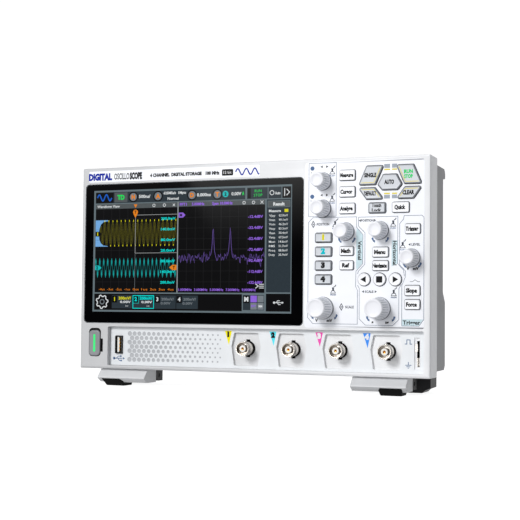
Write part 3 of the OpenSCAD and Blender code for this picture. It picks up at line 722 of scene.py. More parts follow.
def waveform_window():
    """Two traces: a dense burst that fills a blue window on the left, and a fast wave."""
    black.box(11.5, 56.4, 79.1, 118.4)
    ash.box(11.5, 118.4, 79.1, 121.9)
    white.text("Waveform View", 22.2, 120.2, 1.8, 19, bold=0.02)
    for x in (60, 68.5):
        white.ring(x, 120.1, 1.0, 0.4, 12)
    cross(76.2, 120.1)
    grid(11.5, 6.76, 11.6, 79, 118.2)
    sky.box(11.6, 90.4, 22, 110)
    curve = [(22.4, 109.3), (18.4, 108.8), (16.2, 107), (14.9, 104), (14.3, 99.8)]
    curve += [(14.9, 95.6), (16.2, 92.8), (18.4, 91.2), (22.4, 90.7)]
    black.at(GLASS_Y + 0.13).shape(curve)
    pitch = 3.45
    for shift in (-0.13, 0.13):
        burst = []
        for i in range(19 * 8 + 1):
            x = 14.9 + pitch * i / 8
            if x < 79:
                swell = min(1.0, 0.45 + (x - 14.9) / 5.0)
                angle = 2 * pi * (i / 8 + shift)
                burst.append((x, 100 + 8.8 * swell * sin(angle)))
        dim_yellow.at(GLASS_Y + 0.11 + 0.06 * shift).line(burst, 0.2)
    for i in range(19):
        x = 15.8 + pitch * i
        if 17 < x < 78.6:
            yellow.line([(x, 108.5), (x, 109.9)], 0.46)
        if 22 < x + pitch / 2 < 78.6:
            yellow.line([(x + pitch / 2, 90.4), (x + pitch / 2, 91.6)], 0.46)
    black.at(MARK_Y).shape([(11.6, 98), (14.4, 98), (16.9, 99.8), (14.4, 101.6), (11.6, 101.6)])
    yellow.at(TEXT_Y).text("1", 13.4, 99.8, 2.2, bold=0.06)
    step = 67.4 / 20
    wave = []
    for i in range(20 * 8 + 1):
        wave.append((11.6 + step * i / 8, 74.5 + 6.6 * sin(pi * i / 4 + 0.6)))
    dim_cyan.line(wave, 0.5)
    for i in range(20):
        peak = 11.6 + step * (i + 0.25 - 0.6 / (2 * pi))
        bright_cyan.shape([(peak - 0.6, 79.2), (peak, 75.6), (peak + 0.6, 79.2), (peak, 82)])
        if peak + step / 2 < 78.5:
            low = peak + step / 2
            bright_cyan.shape([(low - 0.6, 69.8), (low, 67), (low + 0.6, 69.8), (low, 73.4)])
    cyan.at(MARK_Y).shape([(11.6, 72.9), (14.9, 72.9), (17.1, 74.6), (14.9, 76.3), (11.6, 76.3)])
    over.text("2", 13.4, 74.6, 2.1, bold=0.05)
    pale.line([(79, 113.3), (45, 113.3), (45, 85.3), (79, 85.3)], 0.3)
    grey.at(MARK_Y + 0.02).line([(45, 85), (45, 57)], 0.2)
    orange.triangle(44.9, 120.4, 1.7, -90)
    orange.dot(44.9, 115.4, 2.0, 16)
    orange.triangle(44.9, 113.1, 1.8, -90)
    over.text("T", 44.9, 115.5, 2.0, bold=0.04)
    orange.shape([(79, 72.7), (75.6, 72.7), (73, 74.6), (75.6, 76.5), (79, 76.5)])
    over.text("T", 76.8, 74.6, 2.1, bold=0.04)
    for i in range(7):
        label = f"{abs(3 - i) * 60 + 20}.0mV"
        aqua.text(label, 71.8, 110.3 - 7.75 * i, 1.8, 11.6, bold=0.025)
    for i in range(9):
        orange.text(f"{i - 4}us", 17.6 + 7.1 * i, 58.7, 1.6, 4.9, bold=0)


def spectrum_window():
    black.box(80, 56.4, 147.4, 118.6)
    ash.box(80, 118.6, 147.4, 122)
    for text, x, width in (("FFT1", 83.8, 5.6), ("5.00MHz", 95.6, 10), ("Span 10.0MHz", 114.6, 16)):
        violet.text(text, x, 120.3, 1.9, width, bold=0.04)
    for x in (131.4, 138.6):
        white.ring(x, 120.2, 1.0, 0.4, 12)
    cross(145, 120.3, 1.1)
    grid(80, 6.74, 80.1, 147.3, 118.4, axis=0.3)
    floor_noise = Random(7)
    trace = []
    count = 150
    for i in range(count + 1):
        x = 80.2 + 67 * i / count
        z = 81.2 + floor_noise.gauss(0, 1.8)
        if floor_noise.random() < 0.05:
            z -= 6 * floor_noise.random()
        for centre in (107.7, 121):
            d = abs(x - centre)
            z = max(z, 82 + 26 * exp(-d * 1.3) + floor_noise.gauss(0, 0.5) - 0.9 * d)
        trace.append((x, z))
    purple.line(trace, 0.32)
    violet.at(MARK_Y).shape([(80.1, 110.7), (83.6, 110.7), (85.6, 112.5), (83.6, 114.3), (80.1, 114.3)])
    over.text("M", 82, 112.5, 1.9, bold=0.04)
    for i in range(7):
        violet.text(f"-{20 * i + 12}.4dBV", 140.2, 110.2 - 7.75 * i, 1.8, 11.4)
    for i in range(5):
        violet.text(f"{2 * i + 1}.000MHz", 86 + 12.4 * i, 58.5, 1.7, 10.6, bold=0.02)
    pale.line([(79.55, 56.4), (79.55, 122)], 0.45)
    white.line([(140.6, 59.6), (142.8, 61.2), (140.6, 62.8)], 0.55)
    for k in range(3):
        white.line([(143.4, 59.8 + 1.3 * k), (147, 59.8 + 1.3 * k)], 0.5)


def results():
    slate.box(148.6, 56.8, 166.8, 122)
    steel.at(MARK_Y + 0.05).box(149.3, 116.4, 166.2, 121.1)
    ash.at(MARK_Y + 0.03).box(149.6, 116.7, 165.9, 120.8)
    white.text("Result", 157.8, 118.7, 2.2, 8.6, bold=0.04)
    white.text("Measure", 154.8, 113.9, 1.7, 9)
    yellow.at(TEXT_Y).box(162, 112.9, 164.8, 115)
    rows = ["Vpp", "Vmax", "Vmin", "Vtop", "Vbase", "Vamp", "Mean", "RMS", "Freq", "Duty"]
    for k, label in enumerate(rows):
        z = 110.6 - 3.06 * k
        white.text(label, 152.8, z, 1.5, 4.6, bold=0.01)
        white.text(f"{(k * 37 + 52) % 90 + 10}.{k}mV", 161.2, z, 1.5, 6.8, bold=0.01)


def bottom_bar():
    black.box(11.3, 43.4, 130.4, 55.4)
    teeth = []
    for k in range(28):
        a, r = tau * k / 28, 5.0 if k % 4 < 2 else 3.9
        teeth.append((18 + r * cos(a), 49.4 + r * sin(a)))
    white.line(teeth, 0.75, True)
    grey.ring(18, 49.4, 1.7, 0.7, 16)
    for i, tint in enumerate((yellow, aqua, grey, grey)):
        x = 26.2 + 17.65 * i
        tile.box(x, 44.6, x + 17.1, 54.3)
        if i == 1:
            teal.box(x + 4.4, 51, x + 17, 54.2)
            aqua.line(rectangle(x, 44.8, x + 17, 54.1), 0.5, True)
            aqua.at(TEXT_Y + 0.01).line([(x, 48.5), (x + 4.7, 48.5), (x + 4.7, 54)], 0.2)
        well.box(x + 0.2, 48.9, x + 4.4, 53.9)
        digit = tint if i < 2 else white
        digit.at(TEXT_Y).text(str(i + 1), x + 2.3, 51.5, 2.7, bold=0.04)
        tint = tint.at(TEXT_Y)
        if i < 2:
            tint.text("200mV/", x + 10.8, 52.2, 2.0, 10.4)
            white.text("0.00V", x + 11.4, 49.4, 1.6, 9)
            white.text("DC", x + 12.6, 46.4, 0.9, 2.4, bold=0)
        else:
            tint.text("200mV/", x + 10.6, 51.6, 1.9, 10, bold=0.02)
            tint.text("0.00V", x + 9, 48.6, 1.7, 8, bold=0.02)
    tile.box(131.2, 44.2, 147.2, 54.8)
    well.box(131.5, 49.2, 136, 54.5)
    white.text("M", 133.8, 51.9, 2.9, bold=0.06)
    violet.at(MARK_Y).box(137, 49.8, 141.8, 54.4)
    for x, z, x1, z1 in ((142.3, 49.8, 146.9, 54.4), (137, 44.6, 141.8, 49.3), (142.3, 44.6, 146.9, 49.3)):
        grey.at(MARK_Y).box(x, z, x1, z1)
    violet.text("FFT", 139.4, 47, 1.7, 3.6)
    white.text("M4", 144.6, 47, 1.7, 2.8)
    black.box(148.6, 43.4, 166.8, 55.8)
    white.line([(155.2, 49.6), (160.6, 49.6)], 0.5)
    white.dot(154.8, 49.6, 0.8, 12)
    white.line([(156.4, 49.6), (157.3, 50.9), (159, 50.9)], 0.5)
    white.line([(157.2, 49.6), (158.1, 48.3), (159.6, 48.3)], 0.5)
    white.triangle(161, 49.6, 1.0, 0)


# The picture on the display: a waveform window, a spectrum window, results and bars
steel.box(*SCREEN)
top_bar()
waveform_window()
spectrum_window()
results()
bottom_bar()
for name, layer, *rgb in (
    ("black", black, 7, 7, 9), ("slate", slate, 46, 56, 63), ("ash", ash, 84, 90, 92),
    ("teal", teal, 16, 96, 98), ("aqua", aqua, 0, 232, 224), ("wave", dim_cyan, 10, 92, 92),
    ("peaks", bright_cyan, 22, 158, 156), ("pale", pale, 170, 172, 172), ("border", steel, 104, 118, 124),
    ("grey", grey, 122, 130, 136), ("grid", faint, 42, 42, 44), ("white", white, 226, 230, 232),
    ("yellow", yellow, 228, 222, 20), ("burst", dim_yellow, 112, 108, 24), ("cyan", cyan, 22, 190, 190),
    ("purple", purple, 108, 84, 164), ("violet", violet, 150, 104, 226), ("orange", orange, 236, 134, 30),
    ("green", green, 30, 226, 90), ("sky", sky, 118, 176, 232), ("blue", blue, 28, 96, 200)
):
    layer.piece("display_" + name, lit("display_" + name, *rgb), "cover_glass")

# ---- prints on the panel

line = Print(PRINT_ON - 0.02, 0.05)
fill = Print(PRINT_ON - 0.015, 0.05)
blue_mark = Print(PRINT_ON - 0.025, 0.05)
word = Print(PRINT_ON - 0.03, 0.06)
small = Print(PRINT_ON - 0.03, 0.06)
bar = Print(PRINT_ON - 0.02, 0.05)
bar_edge = Print(PRINT_ON - 0.02, 0.05)


def push_mark(cx, cz):
    """Pictogram of pushing a knob: a stem on a foot, with a finger above it."""
    small.shape([(cx - 0.5, cz - 0.6), (cx + 0.5, cz - 0.6), (cx + 0.75, cz + 1.7), (cx - 0.75, cz + 1.7)])
    small.line([(cx - 1.6, cz - 2), (cx - 1.0, cz - 0.6), (cx + 1.0, cz - 0.6), (cx + 1.6, cz - 2)], 0.4)
    small.line([(cx - 2.0, cz - 2.2), (cx + 2.0, cz - 2.2)], 0.4)
    small.line([(cx + 0.5, cz + 2.1), (cx + 1.5, cz + 2.5), (cx + 2.1, cz + 3.5)], 0.55)
    blue_mark.text("PUSH", cx, cz - 3.4, 0.9, 4)


def turn_marks(x0, x1, z, words=None):
    """Two curved arrows on either side of a knob's foot, with a unit at each."""
    for s, x in ((-1, x0), (1, x1)):
        arrow = ((-0.2, 1.7), (1.1, 1.2), (0.5, -0.4), (-0.9, -1.3))
        blue_mark.shape([(x + s * dx, z + dz) for dx, dz in arrow])
        blue_mark.triangle(x - s * 0.9, z - 1.1, 1.1, -90 - s * 30)
    for text, x, wz in words or ():
        word.text(text, x, wz, 1.9, bold=0.06)


def panel_prints():
    # Outlines of the groups: (points, closed)
    outlines = (
        (rectangle(180, 109.1, 199.8, 146), True),
        (
            [
                (183, 108.3), (180, 105.2), (179.8, 39.6), (183.5, 35.4), (215.3, 35.4), (215.3, 58.5),
                (214, 61), (214.2, 71.2), (218.9, 76.3), (219, 96.1), (214.5, 101.2), (214.5, 108.3)
            ],
            True
        ),
        ([(215.8, 108), (215.8, 101.9), (220.4, 97.4), (220.4, 76), (215.8, 71.2), (215.4, 69.4)], False),
        (
            [
                (215.4, 61.8), (216.6, 59.5), (216.6, 39.1), (220.9, 34.9), (240, 34.9), (244.1, 38.9),
                (244.1, 59.5), (245.8, 62.4)
            ],
            False
        ),
        ([(215.8, 108), (243.2, 108.1), (243.2, 76.3), (247.2, 72), (247.8, 68)], False),
        (
            [
                (244.5, 103.2), (247.1, 106), (247.5, 108.4), (259.6, 108.4), (261, 107), (261, 39.1),
                (257.8, 34.7), (246.1, 34.7), (246.1, 61.6), (248.4, 67.1), (248.6, 71.2), (244.5, 75.6)
            ],
            True
        )
    )
    for points, closed in outlines:
        line.line(points, 0.32, closed)
    # Tinted tabs with the names of the three groups
    fill.shape([(214.7, 72.3), (218.7, 76.6), (218.8, 95.9), (214.7, 100.6), (214.3, 98), (214.3, 74)])
    fill.shape([(239, 74.4), (243, 76.4), (243, 92), (239, 92)])
    fill.shape([(246.3, 34.9), (257.6, 34.9), (260.8, 39.2), (246.3, 39.2)])
    word.text("Vertical", 216.8, 85.4, 2.4, 13, turn=-90)
    word.text("Horizontal", 241.2, 83.4, 2.4, 16.4, turn=-90)
    word.text("Trigger", 252.8, 37, 2.6, 12)

    for z in (142.5, 122.9):
        blue_mark.dot(182.5, z, 1.5)
        word.line([(181.6, z - 3.4), (181.6, z - 2.2)], 0.3)
        word.triangle(189.4, z + 0.9, 1.05, 180)
        word.triangle(193.0, z + 0.9, 1.05, 0)
    small_knobs = ((196.9, 140.4), (196.9, 121.6), (199.2, 104), (240, 103.6), (246.6, 89))
    for x, z in (*small_knobs, (198, 58.6), (240.6, 57)):
        push_mark(x, z)
    for x, z in ((183.4, 103.7), (204, 47)):
        small.line([(x, z + 2.2), (x - 1.2, z), (x, z - 2.2), (x + 1.2, z)], 0.5, True)
        small.dot(x, z, 0.5, 10)
    for label in (
        ("POSITION", 190.4, 103.7, 1.6, 9), ("SCALE", 209.8, 47, 1.6, 6.1), ("LEVEL", 255.6, 89, 1.6, 6),
        ("POSITION", 222, 105.7, 1.5, 8.8), ("SCALE", 223.6, 57.5, 1.5, 6)
    ):
        small.text(*label)
    for x, z in ((216.9, 105.7), (219.4, 57.5), (251.4, 89)):
        small.triangle(x, z, 1.0, 180)
    for x, z in ((227.2, 105.7), (227.9, 57.5)):
        small.triangle(x, z, 1.0, 0)
    small.line([(251.6, 64.2), (253.4, 64.2), (255, 65.5), (257, 64.2), (258.4, 64.2)], 0.3)
    for x, z in ((198.2, 55.4), (240.8, 53.8)):
        small.text("ZOOM", x, z, 0.9, 3.6, bold=0)
    turn_marks(202.3, 212.8, 92.6)
    turn_marks(226, 236.2, 92.6)
    turn_marks(247.6, 258.6, 75.4, (("V", 250.2, 73), ("mV", 255.6, 73)))
    turn_marks(182.6, 200.4, 40.4, (("V", 186.2, 37.7), ("mV", 195.6, 37.7)))
    turn_marks(222.4, 240.8, 39.4, (("s", 226, 37), ("ns", 236, 37)))

    # Printed bars between the slanted keys
    for x0, x1 in ((233.6, 237.7), (239.0, 242.6)):
        bar.box(x0, 140.9, x1, 143.6)
        bar.box(x0, 120.2, x1, 122.7)
        bar_edge.box(x0, 139.4, x1, 140.4)
        bar_edge.box(x0, 123.1, x1, 124.1)


panel_prints()
NAME_Y = -0.15
name_blue = Print(NAME_Y, 0.05)
name_dark = Print(NAME_Y, 0.05)
name_white = Print(NAME_Y - 0.03, 0.05)
name_blue.text("DIGITAL", 15.3, 142.4, 4.5, 19.8, bold=0.07)
name_dark.text("OSCILLO", 33.2, 142.4, 4.4, 12.6, bold=0.02)
name_dark.text("SCOPE", 45.0, 142.4, 4.4, 10.2, bold=0.07)
name_dark.text("4 CHANNEL  DIGITAL STORAGE", 77.5, 142.2, 2.2, 41.6, bold=0.07)
name_dark.text("100 MHz", 106.9, 142.2, 2.2, 11, bold=0.07)
name_dark.shape(rounded(rectangle(114.2, 139.9, 122.9, 144.5), 0.8))
name_white.text("12 bit", 118.5, 142.2, 1.9, 6.2, bold=0)
swing = [(124.8 + 0.5 * i, 142.3 + 2.2 * sin(i * 0.48)) for i in range(37)]
name_blue.line(swing, 0.95)
for name, layer, material in (
    ("name_blue", name_blue, NAVY_INK), ("name_dark", name_dark, BLACK_INK),
    ("name_white", name_white, WHITE_INK), ("print_lines", line, LINE_INK),
    ("print_tabs", fill, CYAN_TAB), ("print_arrows", blue_mark, BLUE_INK),
    ("print_words", word, BLACK_INK), ("print_small", small, GREY_INK), ("print_bars", bar, BAR_INK),
    ("print_yellow", bar_edge, YELLOW_INK)
):
    layer.piece(name, material)


def strip_prints():
    """Channel marks, the icon of the USB socket and the icons of the probe terminals."""
    on = STRIP_SHEET - 0.02
    digits = Print(on - 0.03, 0.05)
    pale = Print(on - 0.03, 0.05)
    for i, (cx, _) in enumerate(INPUTS):
        mark = Print(on, 0.05)
        mark.shape([(cx - 17.2, 29.4), (cx - 13.9, 19.3), (cx - 11.8, 29.4)])
        mark.piece(f"channel_mark_{i + 1}", CHANNEL_INKS[i])
        (digits if i < 2 else pale).text(str(i + 1), cx - 14.5, 26.9, 3.1, bold=0.11)
    digits.piece("channel_digits", BLACK_INK)
    pale.piece("channel_digits_white", WHITE_INK)
    icon = Print(on, 0.05)
    icon.dot(26.9, 7.7, 1.0, 14)
    icon.line([(26.9, 7.7), (33.7, 7.7)], 0.55)
    icon.triangle(34.7, 7.7, 1.05, 0)
    icon.line([(28.7, 7.7), (30.4, 9.3), (31.8, 9.3)], 0.5)
    icon.dot(32.4, 9.3, 0.75, 12)
    icon.line([(29.9, 7.7), (31.2, 6.1), (32.2, 6.1)], 0.5)
    icon.box(32.2, 5.5, 33.4, 6.7)
    step = [(247.2, 22.6), (248.6, 22.6), (248.6, 25.4), (250.8, 25.4), (250.8, 22.6)]
    icon.line([*step, (252.2, 22.6)], 0.5)
    icon.line([(249.7, 10.6), (249.7, 8.5)], 0.5)
    for half, z in ((2.1, 8.5), (1.3, 7.5), (0.5, 6.6)):
        icon.line([(249.7 - half, z), (249.7 + half, z)], 0.45)
    icon.piece("strip_icons", BLUE_INK)


strip_prints()

# ---- keys

GREEN_LIGHT = finish("green_light", (0, 225, 105), (10, 255, 135), 0.3, bump=0, glow=1.0)
KEY_YELLOW = lit("key_yellow", 246, 236, 30, glow=0.9)
KEY_CYAN = lit("key_cyan", 20, 210, 225, glow=0.9)
KEY_GREEN = lit("key_green", 20, 226, 110, glow=0.95)

# Width of each word on its key
WORD_WIDTH = {
    "measure": 9.2, "cursor": 8.2, "analyse": 8.6, "math": 6.4, "ref": 4.8, "menu": 7.4, "navigate": 9.6,
    "trigger": 8.4, "slope": 7.2, "force": 7.0, "quick": 7.2, "single": 8.0, "default": 8.0, "clear": 7.6,
    "auto": 6.4
}
ACCENT = {"key_channel_1": KEY_YELLOW, "key_channel_2": KEY_CYAN, "key_run_stop": KEY_GREEN}
# Behind this depth the sides of the keys are painted dark as gap shade
GAP_SHADE_DEPTH = -0.2  # behind this a key's sides are dark
SLANTED = ("key_single", "key_run_stop", "key_default", "key_clear", "key_auto")


def legend(node, mark, cx, cz):
    """Prints what stands on a key's face: a symbol, or words taken from the node's name."""
    words = node[4:].replace("channel_", "").replace("_", "/").title()
    if node in SLANTED:
        words = words.upper()
    if node == "key_stop":
        mark.box(cx - 2.15, cz - 2.15, cx + 2.15, cz + 2.15)
    elif node == "key_back":
        mark.triangle(cx + 0.2, cz, 2.5, 180)
    elif node == "key_forward":
        mark.triangle(cx - 0.2, cz, 2.5, 0)
    elif "/" in words:
        first, second = words.split("/")
        width = 6.6 if node == "key_touch_lock" else 6
        mark.text(first, cx - 0.2, cz + 1.7, 2.3, width, bold=0.05)
        mark.text(second, cx - 0.2, cz - 1.6, 2.3, width, bold=0.05)
    elif node.startswith("key_channel"):
        mark.text(words, cx, cz + 0.5, 3.7, bold=0.09)
        mark.line([(cx - 1.0, cz - 2.4), (cx + 1.0, cz - 2.4)], 0.34)
    else:
        mark.text(words, cx - 0.3, cz, 2.6, 1.06 * WORD_WIDTH[words.lower()], bold=0.06)


def key_cap(node):
    """A key: a flange that holds it in, straight sides and a face with a soft, dished edge."""
    outline, front = OUTLINES[node]
    lo, hi = panel_box(node)
    grey = SLOT_OF[node] == "key_grey"
    slanted = node in SLANTED
    rim = 0.75 if grey else 0.45
    flange = hi.x - max(x for x, _ in outline)
    bm = bmesh.new()
    levels = [
        (0, hi.y), (0, 4.2), (flange, 4.2), (flange, 3.4), (0, 3.4), (0, GAP_SHADE_DEPTH), (0, front + 0.55),
        (-0.12, front + 0.28), (-rim, front), (-rim - 0.12, front + 0.02), (-rim - 0.5, front + 0.06),
        (-rim - 1.0, front + 0.07)
    ]
    round_r = 0.8 if slanted else 1.0
    loft(bm, [[(x, y, z) for x, z in ring_of(node, d, round_r)] for d, y in levels])
    # The faces deep in the gap get painted gap shade, and the sides in front of them a darker painted
    # shade of the key
    for face in bm.faces:
        depth = face.calc_center_median().y
        if depth > GAP_SHADE_DEPTH:
            face.material_index = 4
        elif depth > front + (0.1 if grey else 0.35):
            face.material_index = 1
    legend(node, Print(front + 0.035, 0.06, bm, 2), (lo.x + hi.x) / 2, (lo.z + hi.z) / 2)
    if slanted and node != "key_auto":
        # A yellow line along the two sides that meet nearest to the middle key
        hub = Vector((237.8, 131))
        inner = grown(corners_of(outline), -1.35)
        near = min(range(4), key=lambda k: (Vector(inner[k]) - hub).length)
        sides = [inner[(near + k) % 4] for k in (-1, 0, 1)]
        Print(front + 0.035, 0.06, bm, 3).line(sides, 0.42)
    finishes = [KEY_GREY, KEY_EDGE_SHADE] if grey else [KEY_WHITE, KEY_SIDE_SHADE]
    finishes += [ACCENT.get(node, BLACK_INK), YELLOW_INK, DARK_AND_GAP_SHADE]
    to_object(node + "_cap", bm, finishes, BODY_OF[node], 34, [node])


for key in KEYS:
    key_cap(key)


def power_key():
    node = "power_button"
    outline, front = OUTLINES[node]
    lo, hi = panel_box(node)
    corner = [pick(p[k] for p in outline) for pick in (min, max) for k in (0, 1)]
    bm = bmesh.new()
    levels = [
        (0, hi.y), (0, 4.2), (None, 4.2), (None, 3.4), (0, 3.4), (0, GAP_SHADE_DEPTH), (0, front + 0.9),
        (-0.15, front + 0.4), (-0.5, front + 0.1), (-1.0, front), (-1.9, front + 0.12),
        (-2.6, front + 0.18)
    ]
    rings = []
    for d, y in levels:
        box = rectangle(*corner) if d is not None else rectangle(lo.x, lo.z, hi.x, hi.z)
        rings.append([(x, y, z) for x, z in rounded(grown(box, d or 0), 2.8 + (d or 0))])
    loft(bm, rings)
    # Faces deep in the opening get painted gap shade
    for face in bm.faces:
        depth = face.calc_center_median().y
        if depth > GAP_SHADE_DEPTH:
            face.material_index = 2
    cx, cz = sum(corner[0::2]) / 2, sum(corner[1::2]) / 2
    light = rounded(rectangle(cx - 0.85, cz - 6.4, cx + 0.85, cz + 6.4), 0.4)
    Print(front + 0.06, 0.2, bm, 1).shape(light)
    to_object(node + "_cap", bm, [POWER, GREEN_LIGHT, DARK_AND_GAP_SHADE], BODY_OF[node], 40, [node])
    # Dark lining of the opening, and of the notch beside it with its floor: painted shade in the gap round
    # the key and in the notch
    opening = rectangle(*[c + d for c, d in zip(corner, (-0.39, -0.39, 0.39, 1.59))])
    notch = rectangle(16.52, 12.42, 19.38, 22.18)
    plates(
        "power_well", DARK_AND_GAP_SHADE, (rounded(opening, 2.9), [rounded(grown(opening, -0.08), 2.82)], 0.3, 2.2),
        (notch, [rectangle(16.6, 12.5, 19.3, 22.1)], 0.2, 2.2),
        (rectangle(17.75, 12.42, 19.38, 22.18), [], 2.1, 2.2)
    )


power_key()

# ---- knobs


def knob(node):
    """A knob with shallow flutes down its cone, a smooth foot and a dished face."""
    lo, hi = panel_box(node)
    cx, cz = knob_axis(node)
    base = (hi.x - lo.x) / 2
    big = base > 7
    face = 6.1 if big else 4.6
    front = lo.y
    flutes = 24 if big else 20
    start, end = -2.9, front + 1.5

    def fluted(r, y, a):
        if y > start or y < end:
            return r
        t = (start - y) / (start - end)
        depth = 0.34 * min(1.0, 6 * t, 7 * (1 - t))
        return r - depth * (0.5 - 0.5 * cos(flutes * a)) ** 0.7

    foot, lip = base - 0.08, face + 0.42
    steps = [k / 12 for k in range(13)]
    side = [(foot + (lip - foot) * t, start + (end - start) * t) for t in steps]
    profile = [
        (4.4, -1.0), (base - 0.5, -1.0), (base - 0.12, -1.12), (base, -1.5), (base - 0.02, -2.5), *side,
        (face + 0.36, front + 1.0), (face + 0.2, front + 0.5), (face - 0.1, front + 0.15),
        (face - 0.5, front), (face - 0.9, front + 0.06), (face - 1.3, front + 0.3),
        (face - 2.2, front + 0.42), (1.2, front + 0.5), (0.02, front + 0.5)
    ]
    bore = [(0.02, front + 2.2), (3.05, front + 2.2), (3.05, -6.5), (4.4, -6.5), (4.4, -1.0)]
    bm = bmesh.new()
    revolve(bm, cx, cz, profile, flutes * 8, shape=fluted)
    # The valleys of the flutes get a darker finish: painted shade in the creases
    for f in bm.faces:
        middle = f.calc_center_median()
        turn = flutes * atan2(middle.z - cz, middle.x - cx)
        if end + 0.4 < middle.y < start - 0.6 and cos(turn) < -0.3:
            f.material_index = 1
    # The bore for the shaft, from behind
    closing = [f for f in bm.faces if len(f.verts) > 4 and f.calc_center_median().y > -1.5]
    bmesh.ops.delete(bm, geom=closing, context="FACES_ONLY")
    rows = []
    for r, y in bore:
        rows.append([bm.verts.new((x, y, z)) for x, z in circle(cx, cz, r, flutes * 8)])
    skin(bm, rows)
    bm.faces.new(rows[0])
    bmesh.ops.remove_doubles(bm, verts=bm.verts, dist=1e-4)
    to_object(node + "_body", bm, [KNOB, GROOVE_SHADE], BODY_OF[node], 30, [node])


for node in KNOBS:
    knob(node)

# A grey ring round the foot of each knob on the panel: painted shade
knob_gaps = Print(PRINT_ON - 0.02, 0.04)
for node in KNOBS:
    lo, hi = panel_box(node)
    knob_gaps.ring(*knob_axis(node), (hi.x - lo.x) / 2 - 0.1, 0.9, 48)
knob_gaps.piece("knob_gaps", KNOB_FOOT_SHADE)

# ---- inputs


def bnc(bm, place, rim, panel_face, board):
    """A bayonet socket: lipped barrel, two lugs, and the body behind the panel."""
    outer = [
        (4.08, rim + 0.25), (4.3, rim + 0.02), (4.62, rim), (4.8, rim + 0.2), (4.8, rim + 3.0),
        (4.7, rim + 3.2), (4.7, rim + 7.2), (4.8, rim + 7.4), (4.8, rim + 8.6), (4.7, rim + 8.8),
        (4.7, panel_face + 2.2), (7.1, panel_face + 2.2), (7.2, panel_face + 2.3),
        (7.2, panel_face + 4.1), (6.2, panel_face + 4.2), (6.2, board), (2.5, board), (2.5, rim + 6.48),
        (2.7, rim + 6.5), (4.08, rim + 6.5)
    ]
    made = bmesh.new()
    revolve(made, 0, 0, outer, 48, closed=True)
    for face in made.faces:
        middle = face.calc_center_median()
        r = hypot(middle.x, middle.z)
        # The bevel round the rim and the wall inside the barrel get darker nickel: painted shade
        if (r > 4.68 and middle.y < rim + 0.15) or (3.9 < r < 4.2 and middle.y < rim + 6.5):
            face.material_index = 2
        # The flange's face is painted black as shade where it shows through the panel's two openings for
        # the lugs
        elif r > 4.8 and panel_face + 2.1 < middle.y < panel_face + 2.5:
            face.material_index = 1
    for s in (-1, 1):
        lug = []
        for z, k in ((4.2, 1), (5.3, 1), (5.45, 0.9), (5.5, 0.7)):
            lug.append([(x, y, s * z) for x, y in circle(0, rim + 5.2, 0.93 * k, 20)])
        loft(made, lug)
    add_placed(bm, made, place)


BOARD_Y = 30.0
REAR_Y = panel_box("rear_cover")[1].y
PLACES = [Matrix.Translation((x, 0, z)) for x, z in INPUTS]
REAR_PLACE = Matrix.Translation((40, REAR_Y, 19)) @ Matrix.Rotation(pi, 4, "Z")
SOCKETS = [(place, -5.2, 6.4, BOARD_Y) for place in PLACES]
SOCKETS.append((REAR_PLACE, 0.0, 10.2, REAR_Y - BOARD_Y - 1.6))

bm = bmesh.new()
for place, rim, face, board in SOCKETS:
    bnc(bm, place, rim, face, board)
finishes = [NICKEL, BLACK_PAINTED_SHADE, NICKEL_PAINTED_SHADE]
to_object("bnc_barrels", bm, finishes, crease=30, replaces=["bnc_shells"])


def turned_parts(name, node, material, profile_of):
    bm = bmesh.new()
    for place, rim, face, board in SOCKETS:
        made = bmesh.new()
        revolve(made, 0, 0, profile_of(rim, board), 36, closed=True)
        add_placed(bm, made, place)
    to_object(name, bm, [material], crease=30, replaces=[node])


# Washers round the barrels, painted black as the shade in the gap round each barrel
washers = [(circle(*at, 5.35, 40), [circle(*at, 4.82, 40)], 5.6, 6.42) for at in INPUTS]
plates("bnc_washers", BLACK_PAINTED_SHADE, *washers)

turned_parts(
    "bnc_cores", "bnc_insulators", INSULATOR,
    lambda rim, board: [
        (1.05, board - 0.1), (1.05, rim + 1.0), (1.15, rim + 0.9), (2.2, rim + 0.9), (2.36, rim + 1.05),
        (2.4, rim + 1.3), (2.4, board - 0.1)
    ]
)
turned_parts(
    "bnc_pins", "bnc_contacts", GOLD,
    lambda rim, board: [
        (0.02, board - 0.1), (0.02, rim + 6.0), (0.5, rim + 5.8), (0.5, rim + 1.45), (0.62, rim + 1.25),
        (0.85, rim + 1.2), (1.0, rim + 1.35), (1.0, board - 0.1)
    ]
)

# ---- the rest of the case

soften("rear_cover", 0.35, COVER)
soften("base_feet", 0.35, FOOT)
PIVOT = TO_ROW @ Vector((0, 22.5, -4.9))
for side in ("left", "right"):
    leg = soften("tilt_leg_" + side, 0.5, LEG, 3)
    leg.data.materials.append(FOOT)
    for face in leg.data.polygons:
        off_axis = face.center - PIVOT
        if hypot(off_axis.y, off_axis.z) < 1.6 * MM:
            face.material_index = 1
    soften("leg_pad_" + side, 0.4, RUBBER)
soften("interface_sockets", 0.08, STEEL, 1)
soften("case_screws", 0.1, STEEL, 1)
soften("fan_frame", 0.3, FAN, 1)
soften("fan_rotor", 0.15, FAN, 1)
for node, material in (
    ("lcd_module", DISPLAY_FRAME), ("keypad_mat", SILICONE), ("front_panel_pcb", BOARD),
    ("encoder_housings", STEEL), ("main_pcb", BOARD), ("probe_terminals", NICKEL)
):
    dress(node, material)
for node in NODES:
    if node.startswith("shaft_"):
        dress(node, STEEL)

